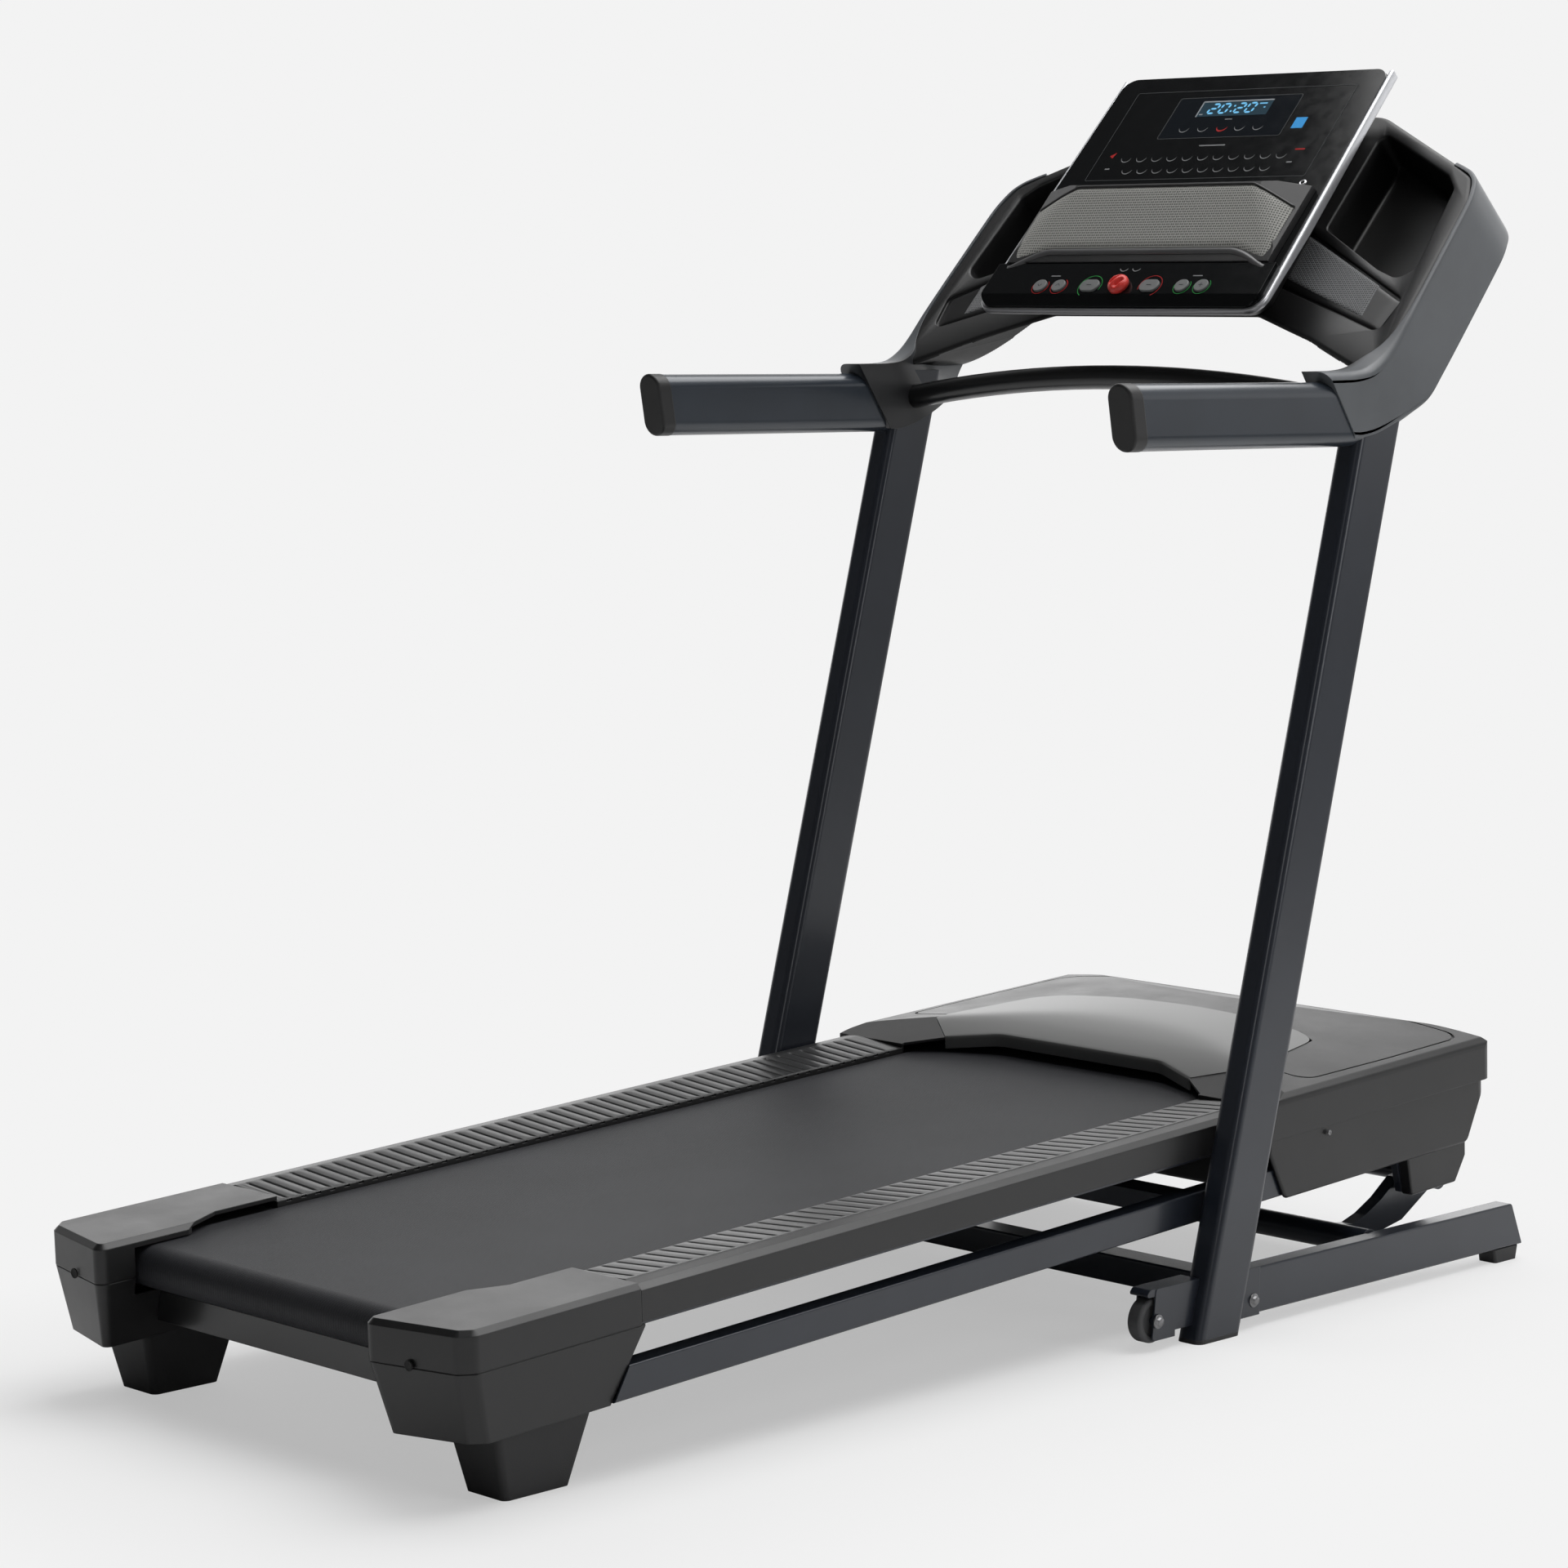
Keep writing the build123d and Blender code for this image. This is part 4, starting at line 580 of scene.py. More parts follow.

# ------------------------------
# A plain blue touch spot beside the window, printed with a painted glow, and the rings printed round
# the keys: red for the incline pair and stop, green for start and the speed pair.  The keys carry
# plain arrows.
# Painted light: the printed blue spot glows at a quarter strength, though nothing lights it from behind.
blue_glow_ink = ink("blue touch spot", (0.04, 0.26, 0.58), 0.25)
spot_shape = ribbon([(0.1165, 0.304), (0.1355, 0.304)], 0.020)
new_piece("touch_spot", spot_shape, blue_glow_ink, "base")
panel_n, key_n = 0.009, 0.012
panel_ink = panel_n + ink_lift
small_key, wide_key = 0.0132, 0.0185


def key_rings(name, finish, *rings):
    """Printed arcs round keys: each key's place and radius, and the arc's two angles."""
    paths = [arc_path(x, 0.0, radius, start, end, 40) for x, radius, start, end in rings]
    arcs = [ribbon(path, 0.0010, panel_ink) for path in paths]
    new_piece(name, gather(arcs), finish, "base")


key_rings(
    "red_key_rings", red_ink,
    (-0.1375, small_key, 120, 400), (-0.105, small_key, 130, 420), (0.051, wide_key, -60, 200),
)
key_rings(
    "green_key_rings", green_ink,
    (-0.051, wide_key, -20, 240), (0.105, small_key, 130, 400), (0.1375, small_key, 120, 410),
)
key_dashes = [ribbon([(x - 0.008, 0.0185), (x + 0.008, 0.0185)], 0.0017, panel_ink) for x in (-0.121, 0.121)]
panel_arcs = [ribbon(arc_path(x, 0.034, 0.007, 200, 340), 0.0013, panel_ink) for x in (-0.010, 0.011)]
new_piece("key_panel_marks", gather(key_dashes + panel_arcs), grey_ink, "base")
key_glyphs = {
    "key_incline_down": (-0.1375, [[(-0.0035, 0.0015), (0.0, -0.002), (0.0035, 0.0015)]]),
    "key_incline_up": (-0.105, [[(-0.0035, -0.0015), (0.0, 0.002), (0.0035, -0.0015)]]),
    "key_speed_down": (0.105, [[(-0.0035, 0.0), (0.0035, 0.0)]]),
    "key_speed_up": (0.1375, [[(-0.0035, 0.0), (0.0035, 0.0)], [(0.0, -0.0035), (0.0, 0.0035)]]),
    "key_start": (-0.051, [[(-0.004, 0.0), (0.004, 0.0)]]),
    "key_stop": (0.051, [[(-0.004, 0.0), (0.004, 0.0)]]),
}
for key_name, (key_x, strokes) in key_glyphs.items():
    glyph = gather([ribbon(np.array(line) + [key_x, 0.0], 0.0012, key_n + ink_lift) for line in strokes])
    new_piece(key_name + "_mark", glyph, faint_ink, key_name + "_cap")

# ------------------------------
# The safety key: a round red knob, moulded in one with a pinch grip between two scooped hollows,
# that pulls straight out of its socket.
knob_radius, knob_rim, knob_rise = 0.0150, 0.0045, 0.0095
knob_steps, knob_rings = 96, 46


def knob_height(u, v):
    """A dome, rim + rise sqrt(1 - (r / R)^2), less a scoop on each side of the grip,
    6.5 mm exp(-((|u| - 5.6 mm) / 3 mm)^4 - (v / 8 mm)^4)."""
    share = np.clip((u**2 + v**2) / knob_radius**2, 0.0, 1.0)
    scoop = np.exp(-(((np.abs(u) - 0.0056) / 0.0030) ** 4) - (v / 0.0080) ** 4)
    return knob_rim + knob_rise * np.sqrt(1 - share) - 0.0065 * scoop * (1 - share) ** 0.5


knob_angle, knob_reach = np.meshgrid(
    np.linspace(0, 2 * math.pi, knob_steps, endpoint=False), np.linspace(0.004, 1, knob_rings)
)
knob_u = knob_radius * knob_reach * np.cos(knob_angle)
knob_v = knob_radius * knob_reach * np.sin(knob_angle)
knob_n = panel_n + np.concatenate([knob_height(knob_u, knob_v), np.full((1, knob_steps), 0.0006)])
knob_u = np.concatenate([knob_u, knob_u[-1:] * 0.97])
knob_v = np.concatenate([knob_v, knob_v[-1:] * 0.97])
knob_lean = math.radians(28)
knob_x = knob_u * math.cos(knob_lean) + knob_v * math.sin(knob_lean)
knob_s = knob_v * math.cos(knob_lean) - knob_u * math.sin(knob_lean)
knob_ends = end_rings(knob_rings + 1, knob_steps)
knob_faces = quads(knob_rings + 1, knob_steps, True).tolist() + knob_ends
red_plastic = moulding("red key plastic", (0.62, 0.040, 0.032), 0.35, 2500.0, 0.00003, 0.0008)
knob_shape = (on_console(knob_x, knob_s, knob_n), knob_faces)
knob = new_piece("safety_knob", knob_shape, red_plastic, "safety")
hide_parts("safety_key")

# ------------------------------
# The tablet ledge: woven grille cloth stretched over a faceted hump, held in a black frame, with a
# satin lip along its lower edge, coloured light grey as a painted highlight of its lit top.  The
# cloth is glued down and tucked under the frame.
def weave(name, pitch, low, high):
    """Basket weave: threads as ridges of |sin|, one set along X and one up the slope, over and under
    in turn."""
    finish = Finish(name)
    climb = finish.axis("Z") * 0.76 + finish.axis("Y") * 0.65
    warp = (finish.axis("X") * (math.pi / pitch)).math("SINE")
    weft = (climb * (math.pi / pitch)).math("SINE")
    over = (warp * weft + 1.0) * 0.5
    thread = warp.math("ABSOLUTE").math("MAXIMUM", weft.math("ABSOLUTE"))
    holes = finish.span(thread, 0.45, 0.9)
    finish.set({
        "Base Color": finish.blend(holes, low, high),
        "Roughness": 0.75,
        "Normal": finish.relief(holes * 0.7 + over * 0.6, 0.0005, 0.8),
    })
    return finish


def past_middle(x):
    """0 in the cloth's level middle, rising to 1 over the last 66 mm of each side."""
    return np.clip((np.abs(x) - 0.150) / 0.066, 0.0, 1.0)


def cloth_low(x):
    """Lower edge of the cloth: level in the middle, running down in a smooth step past 150 mm each side."""
    t = past_middle(x)
    return 0.066 - 0.025 * t * t * (1.8 - 0.8 * t)


def cloth_high(x):
    """Upper edge of the cloth: level to 150 mm each side, then straight down to the corner."""
    return 0.158 - 0.024 * past_middle(x)


def hump(x, s):
    """Height of the hump: a smooth minimum of the sloping ledge and of the two falling ends."""
    ledge = 0.012 + (s - 0.066) * 0.2174
    ends = 0.011 + (0.222 - np.abs(x)) * 0.328
    softness = 0.006
    blend = np.clip(0.5 + 0.5 * (ends - ledge) / softness, 0.0, 1.0)
    return ends * (1 - blend) + ledge * blend - softness * blend * (1 - blend) + 0.0028


def cloth_sheet(width_half, columns, rows):
    """A grid over the hump: columns across, rows from the lower edge to the upper, the rim tucked down."""
    u = np.linspace(-1.0, 1.0, columns)
    v = np.linspace(0.0, 1.0, rows)[:, None]
    x = width_half * np.sign(u) * np.abs(u) ** 0.9
    low, high = cloth_low(x), cloth_high(x)
    s = low + (high - low) * v
    edge = np.minimum(np.minimum(v, 1 - v) * 9.0, (1 - np.abs(u)) * 14.0)
    tuck = 0.0022 * (1 - np.clip(edge, 0.0, 1.0)) ** 2
    return on_console(np.broadcast_to(x, s.shape), s, hump(x, s) - tuck), quads(rows, columns)


grille_cloth = weave("woven grille", 0.0038, (0.028, 0.028, 0.026), (0.31, 0.31, 0.29))
grille = new_piece("grille_cloth", cloth_sheet(0.2165, 121, 49), grille_cloth, "base")
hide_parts("speaker_mesh")


def console_tube(path, heights, profile):
    """A closed (across, n) profile carried along an (x, s) path at its heights, square to the path."""
    path = np.asarray(path, float)
    normal = along_normal(np.gradient(path, axis=0))
    offset, rise = np.asarray(profile, float).T
    x = path[:, 0, None] + normal[:, 0, None] * offset
    s = path[:, 1, None] + normal[:, 1, None] * offset
    n = np.asarray(heights, float)[:, None] + rise
    rings = on_console(x, s, n).reshape(-1, 3)
    return rings, capped(len(path), len(profile))


lip_profile = [
    (-0.0052, -0.004), (0.0052, -0.004), (0.0046, 0.0008),
    (0.0020, 0.0026), (-0.0016, 0.0026), (-0.0046, 0.0002),
]
lip_x = np.linspace(-0.2185, 0.2185, 121)
lip_s = cloth_low(lip_x) - 0.0058
lip_shape = console_tube(np.stack([lip_x, lip_s], 1), hump(lip_x, lip_s) - 0.0012, lip_profile)
# Painted highlight: the raised lip is real, but its light grey colour stands for the light falling on its
# upward face.
lip_highlight_moulding = moulding("light grey lip moulding, painted highlight", (0.085, 0.085, 0.087), 0.33, 1800.0, 0.00005)
new_piece("ledge_lip", lip_shape, lip_highlight_moulding, "base")
bead_profile = [(-0.0014, -0.004), (0.0014, -0.004), (0.0014, 0.0006), (0.0, 0.0014), (-0.0014, 0.0006)]
bead_x = np.linspace(-0.2165, 0.2165, 121)
bead_s = cloth_high(bead_x) + 0.0014
bead_shape = console_tube(np.stack([bead_x, bead_s], 1), hump(bead_x, bead_s) - 0.0008, bead_profile)
new_piece("ledge_top_bead", bead_shape, black_moulding, "base")

# ------------------------------
# The console housing: one injection-moulded black shell from arm to arm, arched underneath, with
# a deep pocket and a shallow tray each side of the display.  Its rims are rounded by the mould.
# Inside the pockets and over its sides, back and underside it is painted near black as shade.
housing_n, housing_deep = -0.068, 0.102
housing_outline = [
    (0.174, 0.0205, 0.02), (0.280, -0.022, 0.06), (0.358, -0.060, 0.03), (0.4150, -0.086, 0.007),
    (0.4040, 0.224, 0.030), (0.3875, 0.266, 0.020), (0.351, 0.290, 0.05), (0.187, 0.384, 0.06),
]


def rounded_path(corners, steps=9):
    """A closed polygon of (x, y, radius) corners, each turned into an arc tangent to both of its sides:
    the centre lies radius / sin(half the corner's angle) along the bisector."""
    corners = np.asarray(corners, float)
    point, radius = corners[:, :2], corners[:, 2]
    back = np.roll(point, 1, 0) - point
    ahead = np.roll(point, -1, 0) - point
    back /= np.linalg.norm(back, axis=1, keepdims=True)
    ahead /= np.linalg.norm(ahead, axis=1, keepdims=True)
    middle = back + ahead
    middle /= np.linalg.norm(middle, axis=1, keepdims=True)
    half_angle = np.arccos(np.clip((back * middle).sum(axis=1), -1.0, 1.0))
    centre = point + middle * (radius / np.sin(half_angle))[:, None]
    start = point + back * (radius / np.tan(half_angle))[:, None] - centre
    finish_at = point + ahead * (radius / np.tan(half_angle))[:, None] - centre
    first = np.arctan2(start[:, 1], start[:, 0])
    sweep = np.arctan2(finish_at[:, 1], finish_at[:, 0]) - first
    sweep = (sweep + math.pi) % (2 * math.pi) - math.pi
    angle = first[:, None] + sweep[:, None] * np.linspace(0.0, 1.0, steps)
    arcs = centre[:, None, :] + radius[:, None, None] * np.stack([np.cos(angle), np.sin(angle)], axis=-1)
    return arcs.reshape(-1, 2)


def grown(path, amount):
    """A closed anticlockwise path moved out along its own normals."""
    return path - along_normal(np.roll(path, -1, 0) - np.roll(path, 1, 0)) * amount


def stacked(path, growths, depths):
    """A closed solid from copies of a path, each grown by its own amount and laid at its own depth n."""
    rings = [on_console(*grown(path, growth).T, n) for growth, n in zip(growths, depths)]
    faces = capped(len(rings), len(path))
    return np.concatenate(rings), handed(faces, 1 if depths[0] < depths[-1] else -1)


def handed(faces, side):
    """Faces as they are on the right (1), or with their corners the other way round on the left (-1)."""
    if side > 0:
        return faces
    return faces[:, ::-1] if isinstance(faces, np.ndarray) else [face[::-1] for face in faces]


def rework(piece, change):
    """Open a piece's mesh, change it and put it back."""
    shape = bmesh.new()
    shape.from_mesh(piece.data)
    change(shape)
    shape.to_mesh(piece.data)
    shape.free()
    return piece


def facing_out(piece):
    """Turn a closed piece's faces outwards."""
    return rework(piece, lambda shape: bmesh.ops.recalc_face_normals(shape, faces=shape.faces))


def cutter(points, faces):
    """A mesh object used once to cut another, with its faces turned outwards."""
    mesh = bpy.data.meshes.new("cutter")
    mesh.from_pydata(np.asarray(points).tolist(), [], faces)
    tool = facing_out(bpy.data.objects.new("cutter", mesh))
    bpy.context.scene.collection.objects.link(tool)
    return tool


def carve(piece, tools):
    """Take the tools out of a piece, one Boolean after another, and keep the result as its mesh."""
    for tool in tools:
        cut = piece.modifiers.new("cut", "BOOLEAN")
        cut.operation = "DIFFERENCE"
        cut.solver = "EXACT"
        cut.object = tool
    bpy.context.view_layer.update()
    solved = piece.evaluated_get(bpy.context.evaluated_depsgraph_get())
    mesh = bpy.data.meshes.new_from_object(solved)
    piece.modifiers.clear()
    old = piece.data
    piece.data = mesh
    bpy.data.meshes.remove(old)
    for tool in tools:
        bpy.data.objects.remove(tool)


def shade_by_angle(piece, degrees=30.0):
    """Smooth shading with edges sharper than an angle kept crisp."""
    piece.data.polygons.foreach_set("use_smooth", [True] * len(piece.data.polygons))
    limit = math.radians(degrees)

    def crease(shape):
        for edge in shape.edges:
            edge.smooth = len(edge.link_faces) == 2 and edge.calc_face_angle(0.0) < limit

    rework(piece, crease)


left_corners = [(-x, climb_s, radius) for x, climb_s, radius in reversed(housing_outline)]
housing_path = rounded_path(housing_outline + left_corners)
round_off = np.radians(np.linspace(90.0, 0.0, 7))
edge_radius = 0.007
growths = [*(edge_radius * (np.cos(round_off) - 1)), 0.0]
depths = [*(housing_n - edge_radius * (1 - np.sin(round_off))), housing_n - 0.140]
body_points, body_faces = stacked(housing_path, growths, depths)
housing = cutter(body_points, body_faces)
housing.name = "housing_shell"
housing.data.materials.append(housing_moulding.material)

lower_path = housing_path[housing_path[:, 1] < 0.03]
lower_path = lower_path[np.argsort(lower_path[:, 0])]
under_x = np.linspace(-0.43, 0.43, 345)
under_front = on_console(under_x, np.interp(under_x, lower_path[:, 0], lower_path[:, 1]), housing_n)
under_z = under_front[:, 2] - 0.0035
climb_share = np.clip((np.abs(under_x) - 0.24) / 0.16, 0.0, 1.0)
climb_rate = 0.42 - 0.36 * climb_share**2 * (3 - 2 * climb_share)
near_y, far_y, below_z = 0.30, 1.10, 1.0
corner_y = np.broadcast_to([near_y, far_y, far_y, near_y], (len(under_x), 4))
climbed = under_z[:, None] + climb_rate[:, None] * (corner_y - under_front[:, 1:2])
corner_z = np.where([True, True, False, False], below_z, climbed)
under_rows = np.stack([np.repeat(under_x[:, None], 4, axis=1), corner_y, corner_z], axis=-1)
under_cut = cutter(under_rows.reshape(-1, 3), capped(len(under_x), 4))
back_s = np.array([-0.4, 0.6, 0.6, 0.402, 0.272, -0.4])
back_n = np.array([-0.5, -0.5, -0.080, -0.080, housing_n - housing_deep, housing_n - housing_deep])
skin_thickness = 0.0045


def back_cutter(lift):
    """A bar across the machine whose section is the open air behind the housing, lifted towards its face."""
    rings = [on_console(x, back_s, back_n + lift) for x in (-0.5, 0.5)]
    return cutter(np.concatenate(rings), capped(2, len(back_s)))


def well(corners, side, flare, depth, draft, floor_radius):
    """A cutter for a pocket: rim flared by a quarter circle, walls drawn in by the draft, rounded floor."""
    path = (rounded_path(corners) * [side, 1.0])[::side]
    turn_angle = np.radians(np.linspace(0.0, 90.0, 6))
    rim = flare * (1 - np.sin(turn_angle))
    rim_n = housing_n + 0.0002 - flare * (1 - np.cos(turn_angle))
    floor = -draft - floor_radius * (1 - np.cos(turn_angle))
    floor_n = housing_n - depth + floor_radius * (1 - np.sin(turn_angle))
    growths = [flare, *rim, *floor]
    depths = [housing_n + 0.03, *rim_n, *floor_n]
    return cutter(*stacked(path, growths, depths))


pocket_corners = [
    (0.202, 0.176, 0.012), (0.321, 0.104, 0.012), (0.361, 0.0865, 0.020), (0.381, 0.104, 0.016),
    (0.369, 0.244, 0.016), (0.349, 0.268, 0.020), (0.202, 0.352, 0.012),
]
tray_corners = [(0.150, 0.084, 0.006), (0.381, -0.008, 0.014), (0.388, 0.052, 0.014), (0.150, 0.189, 0.006)]
wells = []
for side in (1, -1):
    pocket = well(pocket_corners, side, 0.004, 0.058, 0.005, 0.006)
    carve(pocket, [back_cutter(skin_thickness)])
    wells += [pocket, well(tray_corners, side, 0.0015, 0.0045, 0.0005, 0.001)]
carve(housing, [under_cut, back_cutter(0.0), *wells])
shade_by_angle(housing)
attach(housing, "base")
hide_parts("console_housing")


def darken(finish, share, colour):
    """Painted shade: blend the finish's base colour towards another, dark colour where share falls to 0."""
    base = finish.shader.inputs["Base Color"]
    before = Socket(finish, base.links[0].from_socket)
    finish.join(finish.blend(share, colour, before), base)


# Painted shade: the housing's colour falls to near black from 70 to 84 mm behind the console face, in the
# pockets and over the shell's sides, back and underside.
rise = housing_moulding.axis("Z") * console_up[1] - housing_moulding.axis("Y") * console_up[2]
rise_zero = console_foot[2] * console_up[1] - console_foot[1] * console_up[2]
pocket_shade_share = housing_moulding.span(rise, rise_zero - 0.084, rise_zero - 0.070)
darken(housing_moulding, pocket_shade_share, (0.0014, 0.0014, 0.0016))

# ------------------------------
# Arm covers: satin grey mouldings that wrap the joint of upright and handlebar in a collar, sweep
# up the outside of the housing and close over its top corner.  The collars' inner faces, below the
# housing's top, are painted near black as shade.
def through(rows, count):
    """Rows of numbers joined by a Catmull-Rom curve: a cubic between each two rows, whose slope at a row is
    half the difference of its neighbours."""
    rows = np.asarray(rows, float)
    padded = np.concatenate([2 * rows[:1] - rows[1:2], rows, 2 * rows[-1:] - rows[-2:-1]])
    place = np.linspace(0.0, len(rows) - 1.000001, count)
    index = place.astype(int)
    t = (place - index)[:, None]
    before, first, second, after = (padded[index + k] for k in range(4))
    return 0.5 * (
        2 * first + (second - before) * t + (2 * before - 5 * first + 4 * second - after) * t**2
        + (3 * first - before - 3 * second + after) * t**3
    )


def arm_row(s, x, across, upward, thick, radius):
    """A row of the cover beside the housing: its front and back edges, its outer face, outward direction,
    thickness and edge radius."""
    back_n = -0.172 + 0.69 * max(s - 0.262, 0.0)
    front, back = on_console(0.0, s, -0.0676), on_console(0.0, s, back_n)
    return [front[1], front[2], back[1], back[2], x, across, upward, thick, radius]


cover_rows = [
    [0.448, 1.186, 0.512, 1.098, 0.419, 1, 0, 0.0424, 0.0170],
    [0.474, 1.1865, 0.528, 1.0975, 0.419, 1, 0, 0.0424, 0.0165],
    [0.505, 1.187, 0.556, 1.103, 0.419, 1, 0, 0.0424, 0.0150],
    [0.536, 1.191, 0.590, 1.116, 0.419, 1, 0, 0.0420, 0.0125],
    [0.563, 1.2035, 0.628, 1.133, 0.419, 1, 0, 0.0360, 0.0100],
    arm_row(-0.024, 0.4188, 1, 0.0, 0.020, 0.0075),
    arm_row(0.020, 0.4175, 1, 0.02, 0.009, 0.0045),
    arm_row(0.075, 0.4150, 1, 0.04, 0.006, 0.0030),
    arm_row(0.130, 0.4126, 1, 0.04, 0.006, 0.0028),
    arm_row(0.185, 0.4102, 1, 0.04, 0.006, 0.0028),
    arm_row(0.218, 0.4082, 0.99, 0.10, 0.006, 0.0028),
    arm_row(0.240, 0.4040, 0.95, 0.30, 0.006, 0.0028),
    arm_row(0.2600, 0.3965, 0.84, 0.54, 0.006, 0.0028),
    arm_row(0.2745, 0.3836, 0.68, 0.73, 0.006, 0.0028),
    arm_row(0.2842, 0.3675, 0.60, 0.80, 0.006, 0.0028),
    arm_row(0.2918, 0.3520, 0.55, 0.83, 0.006, 0.0028),
]
corner_turn = np.radians(np.linspace(0.0, 90.0, 7))


def arm_cover(side):
    """Loops carried from the collar to the top corner.  In each loop a point lies between the row's front and
    back edges, sunk below the outer face by radius (1 - sin a) near an edge and by the thickness inside."""
    rows = through(cover_rows, 141)
    front, back = rows[:, 0:2], rows[:, 2:4]
    length = np.linalg.norm(back - front, axis=1, keepdims=True)
    along = (back - front) / length
    outward = np.stack([rows[:, 5], rows[:, 6] * console_up[1], rows[:, 6] * console_up[2]], axis=1)
    outward /= np.linalg.norm(outward, axis=1, keepdims=True)
    thick, radius = rows[:, 7:8], rows[:, 8:9]
    near = radius * (1 - np.cos(corner_turn))
    sunk = radius * (1 - np.sin(corner_turn))
    shares = np.linspace(0.12, 0.88, 9)
    run = [near[:, :1] * 0, near, length * shares, length - near[:, ::-1], length - near[:, :1] * 0]
    drop = [thick, sunk, np.zeros((len(rows), 9)), sunk[:, ::-1], thick]
    run, drop = np.concatenate(run, axis=1), np.concatenate(drop, axis=1)
    plane = front[:, None, :] + along[:, None, :] * run[..., None]
    points = np.concatenate([np.repeat(rows[:, None, 4:5], run.shape[1], axis=1), plane], axis=-1)
    points = points - outward[:, None, :] * drop[..., None]
    points[..., 0] *= side
    return points, handed(capped(*run.shape), side)


cheek_moulding = moulding("blue-grey moulded plastic", (0.086, 0.093, 0.101), 0.40)
# Painted shade: where a face lies inside 376 mm of the middle and below 1.24 m, on the collars' inner faces,
# the colour is blended to near black.
outer_unshaded_share = cheek_moulding.span(cheek_moulding.axis("X").math("ABSOLUTE"), 0.376, 0.390)
upper_unshaded_share = cheek_moulding.span(cheek_moulding.axis("Z"), 1.24, 1.28)
darken(cheek_moulding, outer_unshaded_share.math("MAXIMUM", upper_unshaded_share), (0.010, 0.010, 0.011))
hands = ((1, "r"), (-1, "l"))
for side, hand in hands:
    cover = new_piece("arm_cover_" + hand, arm_cover(side), cheek_moulding, "base")
    shade_by_angle(cover, 40.0)
    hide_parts("arm_cheek_" + hand)

# ------------------------------
# The display unit's edge: a slim silver band clipped round its sides and bottom, which bows
# outwards a little, and behind it the black moulded back that draws in towards the housing.
def evenly(points, count):
    """A polyline resampled at equal steps of its own length."""
    points = np.asarray(points, float)
    run = np.concatenate([[0.0], np.cumsum(np.linalg.norm(np.diff(points, axis=0), axis=1))])
    place = np.linspace(0.0, run[-1], count)
    return np.stack([np.interp(place, run, column) for column in points.T], axis=1)


face_low_x, face_high_x, face_low_s, face_high_s = 0.2435, 0.2295, -0.0325, 0.398
face_corners = [
    (-face_low_x, face_low_s, 0.0255), (face_low_x, face_low_s, 0.0255),
    (face_high_x, face_high_s, 0.002), (-face_high_x, face_high_s, 0.002),
]
lower_arcs = rounded_path(face_corners, 9)[:18]
band_path = evenly([(-face_high_x, face_high_s), *lower_arcs, (face_high_x, face_high_s)], 260)
bow = 0.0022 * (1 - (band_path[:, 0] / face_low_x) ** 2)
band_path[:, 1] -= bow * np.clip(-band_path[:, 1] / 0.02, 0.0, 1.0)
band_normal = -along_normal(np.gradient(band_path, axis=0))
band_section = [
    (-0.0060, -0.0019), (-0.0032, -0.0012), (-0.0014, -0.0015), (-0.0003, -0.0026), (0.0, -0.0042),
    (0.0, -0.0080), (-0.0006, -0.0096), (-0.0080, -0.0100), (-0.0080, -0.0066), (-0.0060, -0.0062),
]
band_in, band_n = np.array(band_section).T
side_share = np.clip((band_path[:, 1] + 0.01) / 0.12, 0.0, 1.0)[:, None]
band_n = np.where((band_n < -0.0070)[None, :], band_n - 0.0055 * side_share, band_n[None, :] + 0 * side_share)
band_plan = band_path[:, None, :] + band_normal[:, None, :] * band_in[None, :, None]
band_points = on_console(band_plan[..., 0], band_plan[..., 1], band_n)
band_first, band_last = end_rings(*band_n.shape)
band_faces = quads(*band_n.shape, True).tolist() + [band_first, band_last[::-1]]
band = new_piece("display_band", (band_points, band_faces), silver, "base")
shade_by_angle(facing_out(band), 35.0)
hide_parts("console_rim")

back_rows = [
    (0.2385, -0.0270, 0.4000, -0.0065), (0.2380, -0.0265, 0.3998, -0.0098),
    (0.2350, -0.0235, 0.3975, -0.0155), (0.2270, -0.0165, 0.3910, -0.0245),
    (0.2160, -0.0070, 0.3800, -0.0350), (0.2030, 0.0060, 0.3660, -0.0480),
    (0.1900, 0.0200, 0.3520, -0.0675),
]
back_rings = []
for half, low, high, n in back_rows:
    top = half - 0.014
    ring = rounded_path([(-half, low, 0.024), (half, low, 0.024), (top, high, 0.02), (-top, high, 0.02)])
    back_rings.append(on_console(*ring.T, n))
back_grid = (len(back_rings), len(back_rings[0]))
back_faces = quads(*back_grid, True).tolist() + end_rings(*back_grid)
back_shape = (np.concatenate(back_rings), back_faces)
display_back = new_piece("display_back", back_shape, black_moulding, "base")
shade_by_angle(facing_out(display_back), 40.0)
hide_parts("console_shell")

# ------------------------------
# Mats in the two trays: rubber-backed cloth pads with a bevelled surround, dropped into shallow
# wells in the housing and held by their own grip.
tray_n = -0.072
mat_corners = np.array([(0.181, 0.088), (0.342, 0.019), (0.341, 0.074), (0.174, 0.168)])


def four_sided(corners, u, v):
    """A point of a four-cornered patch: the corners weighted by (1-u)(1-v), u(1-v), uv and (1-u)v."""
    weights = np.stack([(1 - u) * (1 - v), u * (1 - v), u * v, (1 - u) * v], axis=-1)
    return weights @ corners


def pad(corners, side, base_n, thickness, steps=41):
    """A low pad: thickness times the product of flattened domes each way, with its edge at the base."""
    u, v = np.meshgrid(np.linspace(0, 1, steps), np.linspace(0, 1, steps))
    u = 0.5 - 0.5 * np.cos(math.pi * u)
    v = 0.5 - 0.5 * np.cos(math.pi * v)
    plan = four_sided(corners, u, v)
    dome = (1 - np.abs(2 * u - 1) ** 24) * (1 - np.abs(2 * v - 1) ** 16)
    points = on_console(side * plan[..., 0], plan[..., 1], base_n + thickness * dome)
    return points, handed(quads(steps, steps), side)


